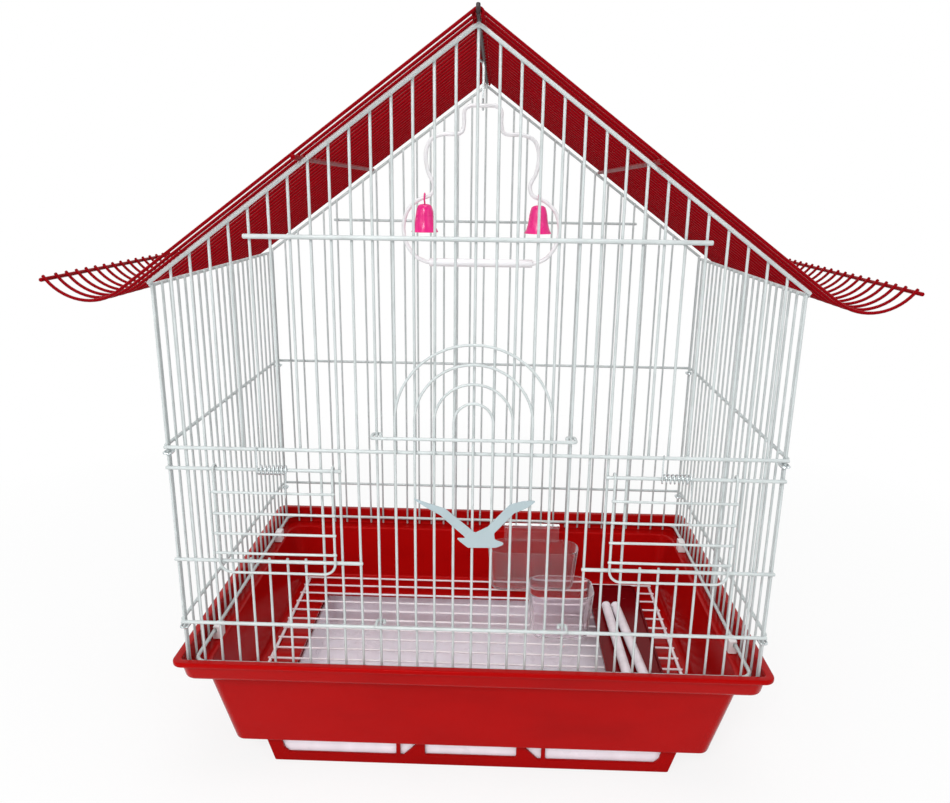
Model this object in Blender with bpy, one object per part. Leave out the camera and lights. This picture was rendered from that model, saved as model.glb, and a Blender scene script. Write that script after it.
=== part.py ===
"""House-shaped wire bird cage on a plastic tub.

World frame: metres, +Z up, +X to the cage's right, -Y towards its front.
The origin is the middle of the footprint, on the surface that the cage stands on.
"""

import math

import bpy
from mathutils import Matrix, Vector

MM = 0.001
X = Vector((1, 0, 0))
Y = Vector((0, 1, 0))
Z = Vector((0, 0, 1))

# Fits and wire sizes, each wire given by the half-diagonal of its square section
GAP = 0.35 * MM                 # clearance between neighbouring pieces
BITE = 0.45 * MM                # depth of a weld where two wires cross
STUB = 1.5 * MM                 # what a wire runs on past the last wire that it crosses
WIRE = 0.95 * MM                # upright wires
BAR = 1.2 * MM                  # cross wires
HEAVY = 1.4 * MM                # the thick gable bar
THIN = 0.8 * MM                 # corner rings, swing hook and end hooks
ROUND = 8                       # sides of wires that something turns on

# Walls
PITCH = 11.0 * MM               # from one upright to the next on the front and back
FRONT_GAPS = 32                 # gaps between the uprights of the front
MIDDLE = FRONT_GAPS // 2        # number of the middle upright
SIDE_COUNT = 21                 # gaps between the uprights of a side
FOOT_HEIGHT = 80.8 * MM         # lower ends of the uprights, on the ledge of the tub
LOW_BAR = 117.5 * MM            # heights of the cross wires
SILL_BAR = 159.6 * MM           # under the feeder doorways
HINGE_BAR = 217.6 * MM          # the feeder doors hang here
MID_BAR = 230.0 * MM
EAVE = 324.4 * MM
GABLE_BAR = 349.2 * MM
APEX = 453.2 * MM
GABLE_BAR_COUNT = 11            # uprights that the gable bar crosses on each side of the middle
DOOR_POST = 5                   # the main doorway lies between these uprights
FEEDER_FIRST = 8                # the uprights that bound a feeder doorway, counted from the middle
FEEDER_LAST = 13
HINGE_BAR_INNER = 7             # inner ends of the short cross wires, counted from the middle
SILL_BAR_INNER = 6

# Main door
TOP_BAR = 239.5 * MM
HOOK_BAR = 1.0 * MM             # half-diagonal of the door's hooked wires
ARCH_CENTRE = 249.3 * MM
ARCH_STEPS = (12, 10, 8, 6)     # straight pieces in each arch, outer arch first
BIRD_THICK = 0.8 * MM
BIRD_LOW = 174.2 * MM           # the lowest point of the bird's body

# Feeder doors
FEEDER_SHIFT = 0.6 * MM         # a door's middle, inwards from the middle of its doorway
FEEDER_LAP = 6.85 * MM          # a door past the uprights beside its doorway
FEEDER_DROP = 64.3 * MM         # from the hinge bar down to the door's lowest wire
FEEDER_SHARES = (0.2, 0.406, 0.602, 0.795)  # the level wires, as shares of that drop
FEEDER_CORNER = 7.0 * MM
DOOR_WIRE = 0.9 * MM
SPRING_WIRE = 0.5 * MM          # radius
SPRING_TURNS = 7
SPRING_POINTS = 9               # points on each turn
SPRING_RADIUS = 2.5 * MM        # axis to the middle of the wire
SPRING_LENGTH = 16.6 * MM
SPRING_SHIFT = 0.3 * MM         # middle of the coil, outwards from the middle of the door
SPRING_LEGS = (14.6 * MM, 27.6 * MM)  # the lower legs under the hinge bar, left and right
SPRING_LEG_RISE = 2.5 * MM      # the upper leg over the middle cross wire

# Roof
ROOF_WIRES = 24
ROOF_OVERHANG = 3.0 * MM        # the outermost wires past the gable wires, beyond their clearance
ROOF_STAGGER = 1.3 * MM         # half of the offset between the hooks of the two roofs
FLARE_REACH = 14.0 * MM         # from the eave out to the start of the flare
FLARE_RADIUS = 27.8 * MM
FLARE_ANGLE = math.radians(94.2)
FLARE_STEPS = 4
RAFTER_SHARE = 0.53125          # the cross wire down the slope, as a share of the way to the eave
RIDGE_RADIUS = 1.1 * MM
RIDGE_TIP = 4.2 * MM            # height of the turned-up ends above the ridge wire

# Tub, from the wire walls inwards and outwards
RIM_REACH = 8.5 * MM            # the rim past the uprights
RIM_TOP = 92.5 * MM
RIM_THICK = 3.0 * MM
RIM_OVERHANG = 3.6 * MM         # the rim past the skirt
RIM_FLAT = 5.0 * MM             # width of the rim's top
SKIRT_DROP = 10.0 * MM
SKIRT_TAPER = 1.8 * MM
SKIRT_ROUND = 2.0 * MM
LEDGE_WIDTH = 8.9 * MM
FUNNEL_TOP_SIDE = 6.0 * MM      # the upper and lower edges of the funnel inside the uprights
FUNNEL_TOP_END = 7.1 * MM
FUNNEL_LOW_SIDE = 20.0 * MM
FUNNEL_LOW_END = 18.5 * MM
FUNNEL_LOW_NEAR = 12.5 * MM     # the front of the funnel is steeper than its back
FUNNEL_LOW = 22.5 * MM
WALL = 2.2 * MM
FLOOR_TOP = 35.0 * MM
HATCH_SIDE = 24.6 * MM          # from the foot of the funnel to the opening in the floor
HATCH_NEAR = 15.0 * MM
HATCH_FAR = 30.0 * MM
RIM_CORNER = 7.0 * MM
CHANNEL_CORNER = 2.0 * MM       # the corner of the channel, close round the corner uprights
FUNNEL_CORNER = 7.0 * MM
LEDGE_CORNER = 11.8 * MM        # the corner of the funnel's mouth, inside the ledge
CORNER_STEPS = 5

# Bay under the floor, and the drawer in it
BAY_SILL = 4.5 * MM             # the open front past the hatch
BAY_END = 1.0 * MM              # the back wall inside the foot of the funnel
BAY_WALL = 1.8 * MM
RUNNER_WIDTH = 6.0 * MM
RUNNER_HEIGHT = 2.0 * MM
FACE_SIDE = 17.5 * MM           # from the foot of the funnel to the top corners of the face
FACE_TAPER = 6.5 * MM           # how far the ends of the face lean in; the bay's walls lean with them
FACE_THICK = 2.2 * MM
FACE_FOOT = 0.4 * MM
WINDOW_FRAME = 6.5 * MM         # between a window and the lower corner of the face
WINDOW_LOW = 7.0 * MM
WINDOW_TOP = 18.5 * MM
RIB_PLACE = 48.5 * MM
RIB_WIDTH = 2.8 * MM
RAMP_LOW = 45.0 * MM
RAMP_TOP = 33.5 * MM
GRIP_WIDTH = 30.5 * MM
GRIP_LOW = 8.0 * MM
TRAY_WALL = 1.6 * MM
TRAY_ROOM = 0.9 * MM            # between the tray and the back wall of the bay

# Floor grille and what lies on it
GRILLE_SIDE = 5.0 * MM          # from the foot of the funnel to the rails and the end rows
GRILLE_END = 7.95 * MM
GRILLE_ROWS = 14
TROUGH_SIDE = 15.0 * MM         # from the rail to the trough
TROUGH_WIDTH = 41.0 * MM
TROUGH_LAP = 13.0 * MM          # the trough past the back of the hatch
TROUGH_HEIGHT = 4.0 * MM
TROUGH_WALL = 1.4 * MM
PERCH_LENGTH = 128.0 * MM
PERCH_RADIUS = 3.6 * MM
PERCH_GROOVE = 0.9 * MM         # depth of the groove that clips between two wires
PERCH_ROOM = 36.5 * MM          # from the back of the trough to the back ends of the perches
PERCH_PLACE = 11.5 * MM         # from the left side of the trough to the left perch, at its back end
PERCH_TURNS = (math.radians(1.5), math.radians(4.1))  # the perches lie a little apart at the front
CUP_WALL = 1.8 * MM
CUP_HEIGHT = 37.5 * MM
BACK_CUP_WIDTH = 78.0 * MM
BACK_CUP_DEPTH = 29.5 * MM
BACK_CUP_ROOM = 9.0 * MM        # between the cups and the trough
FRONT_CUP_WIDTH = 51.0 * MM
FRONT_CUP_DEPTH = 38.0 * MM
FRONT_CUP_ROOM = 4.0 * MM
CUP_SPACE = 36.0 * MM           # between the two cups
HOOD_RISE = 15.0 * MM
HOOD_LEFT = 14.0 * MM           # from the cup's ends to its back plate
HOOD_RIGHT = 16.0 * MM
CUP_CORNER = 13.0 * MM
CUP_TAPER = 3.5 * MM            # each side of a cup leans in by this much towards its foot

# Base ring, clips and corner rings
RING_HEIGHT = 87.0 * MM
RING_CORNER = 8.0 * MM
CLIP_PLACE = 41.5 * MM          # from the planes of the front and back uprights
CLIP_LENGTH = 8.0 * MM
CLIP_THICK = 3.0 * MM
CLIP_LIP = 1.6 * MM
RING_DROP = 3.8 * MM            # a corner ring's distance under its cross wire

# Swing
SWING_ROD = 1.3 * MM
SWING_TOP = 427.0 * MM
SWING_OUTLINE = ((8.0, 0.0), (11.9, 3.0), (12.2, 12.0), (15.0, 17.2), (27.0, 18.0), (34.5, 22.0),
                 (37.2, 31.0), (35.8, 41.0), (32.0, 49.5), (34.0, 56.0), (42.5, 59.7), (49.5, 66.5),
                 (52.4, 77.0), (50.5, 88.0), (44.5, 96.5), (37.5, 100.1))
SWING_WAIST = 9                 # the outline's point over the lower lobe
SWING_STEPS = 2                 # pieces between two points of the outline
SWING_DROP = 100.5 * MM         # from the top rod to the perch
SWING_PERCH_REACH = 35.0 * MM
SWING_PERCH_RADIUS = 2.7 * MM
SOCKET_DEPTH = 5.0 * MM
BELL_PLACE = 38.0 * MM
BELL_PROFILE = ((0.0, -4.2), (1.8, -4.2), (4.8, -5.2), (6.1, -11.0), (7.0, -17.0), (9.2, -22.6),
                (8.2, -22.6), (6.0, -17.0), (4.4, -7.4), (0.0, -6.6))
BELL_HOOK = 0.55 * MM

# Values worked out from those above
HALF_WIDTH = PITCH * MIDDLE
DEPTH = PITCH * SIDE_COUNT      # between the planes of the front and back uprights
HALF_DEPTH = DEPTH / 2
GABLE_SLOPE = (APEX - EAVE) / HALF_WIDTH
GABLE_ANGLE = math.atan(GABLE_SLOPE)
BAR_OFFSET = WIRE + BAR - BITE
HEAVY_OFFSET = WIRE + HEAVY - BITE
BOTTOM_BAR = LOW_BAR + BAR + GAP + HOOK_BAR
WALL_FRONT = HALF_DEPTH + HEAVY_OFFSET + HEAVY
SIDE_REACH = HALF_DEPTH - 2 * WIRE - 2 * GAP
HINGE_Y = -(HALF_DEPTH + BAR_OFFSET)
RIDGE_HEIGHT = APEX + BAR / math.cos(GABLE_ANGLE) + GAP + RIDGE_RADIUS
FLARE_START = HALF_WIDTH + FLARE_REACH
RAFTER_BAR = HALF_WIDTH * RAFTER_SHARE
ROOF_HOOK = RIDGE_RADIUS + GAP + WIRE
ROOF_RISE = RIDGE_HEIGHT + ROOF_HOOK / math.cos(GABLE_ANGLE) - APEX
HOOK_ROOM = BAR + GAP + WIRE + ROOF_STAGGER
ROOF_INNER = HALF_DEPTH - GAP - 2 * WIRE - ROOF_STAGGER
ROOF_OUTER = HALF_DEPTH + BAR_OFFSET + HOOK_ROOM + ROOF_OVERHANG
RIDGE_END = ROOF_OUTER + ROOF_STAGGER + WIRE + GAP + RIDGE_RADIUS
FEEDER_CENTRE = (FEEDER_FIRST + FEEDER_LAST) / 2 * PITCH - FEEDER_SHIFT
FEEDER_WIDTH = (FEEDER_LAST - FEEDER_FIRST) * PITCH + 2 * FEEDER_LAP
FEEDER_BARS = tuple(HINGE_BAR - FEEDER_DROP * share for share in FEEDER_SHARES)
FEEDER_BOTTOM = HINGE_BAR - FEEDER_DROP
SPRING_MIDDLE = FEEDER_CENTRE + SPRING_SHIFT
RIM_WIDTH = HALF_WIDTH + RIM_REACH
RIM_DEPTH = HALF_DEPTH + RIM_REACH
FUNNEL_TOP_WIDTH = HALF_WIDTH - FUNNEL_TOP_SIDE
FUNNEL_TOP_DEPTH = HALF_DEPTH - FUNNEL_TOP_END
FUNNEL_LOW_WIDTH = HALF_WIDTH - FUNNEL_LOW_SIDE
FUNNEL_LOW_DEPTH = HALF_DEPTH - FUNNEL_LOW_END
FUNNEL_LOW_FRONT = FUNNEL_LOW_NEAR - HALF_DEPTH
HATCH_WIDTH = FUNNEL_LOW_WIDTH - HATCH_SIDE
HATCH_FRONT = FUNNEL_LOW_FRONT + HATCH_NEAR
HATCH_BACK = FUNNEL_LOW_DEPTH - HATCH_FAR
BAY_FRONT = HATCH_FRONT - BAY_SILL
BAY_BACK = FUNNEL_LOW_DEPTH - BAY_END
FACE_TOP = FUNNEL_LOW - 2 * GAP
FACE_TOP_WIDTH = FUNNEL_LOW_WIDTH - FACE_SIDE
FACE_LOW_WIDTH = FACE_TOP_WIDTH - FACE_TAPER
BAY_LEAN = FACE_TAPER / (FACE_TOP - FACE_FOOT)
BAY_LOW_WIDTH = FACE_LOW_WIDTH - BAY_LEAN * FACE_FOOT - BAY_WALL - GAP
BAY_TOP_WIDTH = BAY_LOW_WIDTH + BAY_LEAN * (FLOOR_TOP - WALL / 2)
WINDOW_EDGE = FACE_LOW_WIDTH - WINDOW_FRAME
GRILLE_RAIL = FUNNEL_LOW_WIDTH - GRILLE_SIDE
GRILLE_PITCH = 2 * (FUNNEL_LOW_DEPTH - GRILLE_END) / (GRILLE_ROWS - 1)
GRILLE_Z = FLOOR_TOP + GAP + BAR
GRILLE_TOP = GRILLE_Z + BAR_OFFSET + WIRE
TROUGH_RIGHT = GRILLE_RAIL - TROUGH_SIDE
TROUGH_LEFT = TROUGH_RIGHT - TROUGH_WIDTH
TROUGH_FRONT = HATCH_FRONT
TROUGH_BACK = HATCH_BACK + TROUGH_LAP
PERCH_BACK = TROUGH_BACK - PERCH_ROOM
BACK_CUP_RIGHT = TROUGH_LEFT - BACK_CUP_ROOM
BACK_CUP_FRONT = FUNNEL_LOW_DEPTH - BACK_CUP_DEPTH
BACK_CUP = (BACK_CUP_RIGHT - BACK_CUP_WIDTH, BACK_CUP_RIGHT, BACK_CUP_FRONT, FUNNEL_LOW_DEPTH)
FRONT_CUP_RIGHT = TROUGH_LEFT - FRONT_CUP_ROOM
FRONT_CUP_BACK = BACK_CUP_FRONT - CUP_SPACE
FRONT_CUP_LEFT = FRONT_CUP_RIGHT - FRONT_CUP_WIDTH
FRONT_CUP = (FRONT_CUP_LEFT, FRONT_CUP_RIGHT, FRONT_CUP_BACK - FRONT_CUP_DEPTH, FRONT_CUP_BACK)
SWING_PERCH_HEIGHT = SWING_TOP - SWING_DROP
FACE_FRONT = BAY_FRONT - GAP - FACE_THICK


def clear_scene():
    for old in list(bpy.data.objects):
        bpy.data.objects.remove(old)


def material(name, colour, roughness, metallic=0.0, alpha=1.0, transmission=0.0):
    surface = bpy.data.materials.new(name)
    surface.use_nodes = True
    shader = surface.node_tree.nodes["Principled BSDF"]
    shader.inputs["Base Color"].default_value = (*colour, 1.0)
    shader.inputs["Roughness"].default_value = roughness
    shader.inputs["Metallic"].default_value = metallic
    shader.inputs["Alpha"].default_value = alpha
    shader.inputs["Transmission Weight"].default_value = transmission
    surface.diffuse_color = (*colour, alpha)
    return surface


class Shape:
    """A closed surface, or several that don't touch, as points and faces."""

    def __init__(self, points=(), faces=()):
        self.points = [Vector(point) for point in points]
        self.faces = [tuple(face) for face in faces]

    def add(self, other):
        start = len(self.points)
        self.points += other.points
        self.faces += [tuple(start + corner for corner in face) for face in other.faces]
        return self

    def moved(self, matrix):
        return Shape([matrix @ point for point in self.points], self.faces)


def group(shapes):
    whole = Shape()
    for shape in shapes:
        whole.add(shape)
    return whole


def tube_faces(rings, count, closed):
    """Quads between rings of points, and a cap at each end unless the tube is closed."""
    faces = []
    for ring in range(rings if closed else rings - 1):
        start = ring * count
        after = ((ring + 1) % rings) * count
        for side in range(count):
            beside = (side + 1) % count
            faces.append((start + side, start + beside, after + beside, after + side))
    if not closed:
        faces.append(tuple(reversed(range(count))))
        faces.append(tuple(range((rings - 1) * count, rings * count)))
    return faces


def wire(points, radius, facing, sides=4, closed=False):
    """A wire along a chain of points, mitred at its bends, with one edge turned to `facing`."""
    points = [Vector(point) for point in points]
    if closed:
        points = [(points[0] + points[1]) / 2] + points[1:] + points[:1]
    steps = [(after - before).normalized() for before, after in zip(points, points[1:])]
    if closed:
        steps.append((points[0] - points[-1]).normalized())
    out = (facing - steps[0] * facing.dot(steps[0])).normalized()
    across = steps[0].cross(out)
    angles = [2 * math.pi * side / sides for side in range(sides)]
    ring = [points[0] + radius * (math.cos(a) * out + math.sin(a) * across) for a in angles]
    rings = [ring]
    for number in range(1, len(points)):
        step = steps[number - 1]
        onward = steps[number] if number < len(steps) else step
        mitre = (step + onward).normalized()
        ring = [point + step * ((points[number] - point).dot(mitre) / step.dot(mitre)) for point in ring]
        rings.append(ring)
    return Shape([point for ring in rings for point in ring], tube_faces(len(rings), sides, closed))


def loft(loops, closed=False):
    """A skin over loops of points that all have the same count, seen anticlockwise from the far end."""
    return Shape([point for loop in loops for point in loop], tube_faces(len(loops), len(loops[0]), closed))


def prism(outline, depth):
    """A flat outline, anticlockwise about `depth`, extruded by it."""
    outline = [Vector(point) for point in outline]
    return loft([outline, [point + depth for point in outline]])


def box(low, high):
    corners = [(low[0], low[1]), (high[0], low[1]), (high[0], high[1]), (low[0], high[1])]
    return prism([(x, y, low[2]) for x, y in corners], Z * (high[2] - low[2]))


def rounded_loop(left, right, front, back, height, corner, steps=CORNER_STEPS):
    """A level rectangle with round corners, anticlockwise from above."""
    centres = [(right - corner, back - corner), (left + corner, back - corner),
               (left + corner, front + corner), (right - corner, front + corner)]
    loop = []
    for quarter, (x, y) in enumerate(centres):
        for step in range(steps + 1):
            angle = math.pi / 2 * (quarter + step / steps)
            loop.append(Vector((x + corner * math.cos(angle), y + corner * math.sin(angle), height)))
    return loop


def even_loop(half_width, half_depth, height, corner):
    return rounded_loop(-half_width, half_width, -half_depth, half_depth, height, corner)


def turned(profile, sides, centre, axis=Z):
    """A profile of (radius, height) turned about an axis, outer side from top to bottom."""
    turn = Z.rotation_difference(axis).to_matrix()
    points = []
    faces = []
    rings = []
    for radius, height in reversed(profile):
        if radius == 0:
            rings.append([len(points)])
            points.append(centre + turn @ Vector((0, 0, height)))
            continue
        rings.append(list(range(len(points), len(points) + sides)))
        for side in range(sides):
            angle = 2 * math.pi * side / sides
            spot = Vector((radius * math.cos(angle), radius * math.sin(angle), height))
            points.append(centre + turn @ spot)
    for low, high in zip(rings, rings[1:]):
        for side in range(sides):
            beside = (side + 1) % sides
            corners = [low[side % len(low)], low[beside % len(low)],
                       high[beside % len(high)], high[side % len(high)]]
            faces.append(tuple(dict.fromkeys(corners)))
    return Shape(points, faces)


def arc(centre, radius, start, turn, steps, first, second):
    """Points on an arc in the plane of two directions."""
    points = []
    for step in range(steps + 1):
        angle = start + turn * step / steps
        points.append(centre + radius * (math.cos(angle) * first + math.sin(angle) * second))
    return points


def make_object(name, shape, surface, pivot=(0, 0, 0), smooth=None):
    """An object with its origin on its pivot, from a shape in world coordinates."""
    mesh = bpy.data.meshes.new(name)
    pivot = Vector(pivot)
    mesh.from_pydata([point - pivot for point in shape.points], [], shape.faces)
    mesh.validate()
    made = bpy.data.objects.new(name, mesh)
    made.location = pivot
    bpy.context.scene.collection.objects.link(made)
    if surface:
        mesh.materials.append(surface)
    if smooth:
        mesh.shade_smooth()
        mesh.set_sharp_from_angle(angle=smooth)
    return made


def combine(made, shape, operation):
    """Joins a shape to an object or cuts it away, and keeps the result as the object's mesh."""
    tool = make_object(made.name + "_tool", shape.moved(Matrix.Translation(-made.location)), None)
    tool.location = made.location
    step = made.modifiers.new(operation.title(), "BOOLEAN")
    step.operation = operation
    step.solver = "EXACT"
    step.object = tool
    bpy.context.view_layer.update()
    done = made.evaluated_get(bpy.context.evaluated_depsgraph_get())
    made.data = bpy.data.meshes.new_from_object(done)
    made.modifiers.clear()
    bpy.data.objects.remove(tool)
    return made


def upright_place(number):
    return (number - MIDDLE) * PITCH


def gable_height(x):
    return APEX - GABLE_SLOPE * abs(x)


def level_wire(low, high, y, height, radius):
    return wire([(low, y, height), (high, y, height)], radius, Y)


def gable_wire(y):
    reach = HALF_WIDTH + STUB
    return wire([(-reach, y, gable_height(reach)), (0, y, APEX), (reach, y, gable_height(reach))], BAR, Y)


def upright(x, y, low, high):
    return wire([(x, y, low), (x, y, high)], WIRE, Y)


def front_wall():
    """The welded wires of the front, cut away at the three doorways, in parts that meet end to end.

    The foot holds the posts of the main doorway, and each wing goes round a feeder doorway.
    """
    y = -HALF_DEPTH
    bar_y = y - BAR_OFFSET
    reach = HALF_WIDTH + STUB
    foot_top = LOW_BAR + STUB
    gable_low = MID_BAR - STUB
    foot = []
    gable = []
    wings = {-1: [], 1: []}
    for number in range(FRONT_GAPS + 1):
        x = upright_place(number)
        place = abs(number - MIDDLE)
        gable.append(upright(x, y, gable_low, gable_height(x) + BITE))
        foot.append(upright(x, y, FOOT_HEIGHT, gable_low if place == DOOR_POST else foot_top))
        if place > DOOR_POST:
            top = SILL_BAR + STUB if FEEDER_FIRST < place < FEEDER_LAST else gable_low
            wings[1 if x > 0 else -1].append(upright(x, y, foot_top, top))
    panel = make_object("front_panel", group(foot), WHITE_WIRE)
    combine(panel, level_wire(-reach, reach, bar_y, LOW_BAR, BAR), "UNION")
    for side, word in ((-1, "left"), (1, "right")):
        bars = []
        for height, inner in ((SILL_BAR, SILL_BAR_INNER), (HINGE_BAR, HINGE_BAR_INNER)):
            low, high = sorted((side * (inner * PITCH - STUB), side * reach))
            bars.append(level_wire(low, high, bar_y, height, BAR))
        wing = make_object("front_wing_" + word, group(wings[side]), WHITE_WIRE)
        combine(wing, group(bars), "UNION")
    gable_reach = GABLE_BAR_COUNT * PITCH + 2 * STUB
    bars = [level_wire(-reach, reach, bar_y, MID_BAR, BAR), gable_wire(bar_y),
            level_wire(-gable_reach, gable_reach, y - HEAVY_OFFSET, GABLE_BAR, HEAVY)]
    top = make_object("front_gable", group(gable), WHITE_WIRE)
    combine(top, group(bars), "UNION")


def back_panel():
    y = HALF_DEPTH
    places = [upright_place(number) for number in range(FRONT_GAPS + 1)]
    uprights = [upright(x, y, FOOT_HEIGHT, gable_height(x) + BITE) for x in places]
    reach = HALF_WIDTH + STUB
    bar_y = y + BAR_OFFSET
    bars = [level_wire(-reach, reach, bar_y, height, BAR) for height in (LOW_BAR, MID_BAR)]
    gable_reach = GABLE_BAR_COUNT * PITCH + 2 * STUB
    bars.append(level_wire(-gable_reach, gable_reach, bar_y, GABLE_BAR, BAR))
    bars.append(gable_wire(bar_y))
    panel = make_object("back_panel", group(uprights), BACK_WIRE)
    return combine(panel, group(bars), "UNION")


def side_panel(name, side):
    """Uprights between those of the front and back, with the cross wires on their outer side."""
    x = side * HALF_WIDTH
    pitch = 2 * SIDE_REACH / SIDE_COUNT
    places = [-SIDE_REACH + pitch * number for number in range(SIDE_COUNT + 1)]
    uprights = [wire([(x, y, FOOT_HEIGHT), (x, y, EAVE - BAR)], WIRE, X) for y in places]
    reach = SIDE_REACH + WIRE + GAP / 2
    bar_x = side * (HALF_WIDTH + BAR_OFFSET)
    heights = (LOW_BAR, MID_BAR, EAVE - 2 * BAR)
    bars = [wire([(bar_x, -reach, z), (bar_x, reach, z)], BAR, X) for z in heights]
    panel = make_object(name, group(uprights), SIDE_WIRE)
    return combine(panel, group(bars), "UNION")


def roof(name, side):
    """Wires that hook over the ridge wire, run down the slope and flare up at the eave."""
    away = X * side
    down = away * math.cos(GABLE_ANGLE) - Z * math.sin(GABLE_ANGLE)
    normal = away * math.sin(GABLE_ANGLE) + Z * math.cos(GABLE_ANGLE)
    ridge = Z * RIDGE_HEIGHT
    flare_start = away * FLARE_START + Z * (gable_height(FLARE_START) + ROOF_RISE)
    centre = flare_start + normal * FLARE_RADIUS
    flare = arc(centre, FLARE_RADIUS, -math.pi / 2, FLARE_ANGLE, FLARE_STEPS, down, normal)
    bend = math.radians(72)
    corner = ROOF_HOOK / math.cos(bend / 2)
    last = math.pi / 2 + GABLE_ANGLE - bend / 2
    path = arc(ridge, corner, last - 2 * bend, 2 * bend, 2, -away, Z) + flare
    pitch = 2 * ROOF_INNER / (ROOF_WIRES - 3)
    rows = [-ROOF_INNER + pitch * number for number in range(ROOF_WIRES - 2)]
    places = [row + side * ROOF_STAGGER for row in [-ROOF_OUTER] + rows + [ROOF_OUTER]]
    rafters = [wire([point + Y * y for point in path], WIRE, Y) for y in places]
    ends = (Y * -RIDGE_END, Y * RIDGE_END)
    rafter_point = away * RAFTER_BAR + Z * (gable_height(RAFTER_BAR) + ROOF_RISE)
    rafter_point -= normal * (WIRE + HEAVY - BITE)
    tip_way = (flare[-1] - flare[-2]).normalized()
    tip_out = Vector((-tip_way.z, 0, tip_way.x)) * side
    tip_point = flare[-1] - tip_way * BAR - tip_out * BAR_OFFSET
    bars = [wire([rafter_point + end for end in ends], HEAVY, normal),
            wire([tip_point + end for end in ends], BAR, tip_out)]
    panel = make_object(name, group(rafters), RED_WIRE)
    return combine(panel, group(bars), "UNION")


def ridge_wire():
    tip = Z * (RIDGE_HEIGHT + RIDGE_TIP)
    low = Z * RIDGE_HEIGHT
    end = Y * RIDGE_END
    path = [tip - end, low - end, low + end, tip + end]
    return make_object("ridge_wire", wire(path, RIDGE_RADIUS, X, ROUND), DARK_WIRE)


def base_ring():
    half_width = HALF_WIDTH - WIRE - GAP - BAR
    half_depth = HALF_DEPTH - WIRE - GAP - BAR
    loop = rounded_loop(-half_width, half_width, -half_depth, half_depth, RING_HEIGHT, RING_CORNER, 3)
    return make_object("base_ring", wire(loop, BAR, Z, closed=True), WHITE_WIRE)


def corner_ring(name, side, end, height):
    """A wire ring round the two uprights that meet in a corner."""
    x = side * HALF_WIDTH
    room = WIRE + GAP + THIN
    outer = HALF_DEPTH + room
    inner = SIDE_REACH - room
    corners = [(x - room, end * inner, height), (x + room, end * inner, height),
               (x + room, end * outer, height), (x - room, end * outer, height)]
    return make_object(name, wire(corners, THIN, Z, closed=True), BRIGHT_WIRE)


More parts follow.
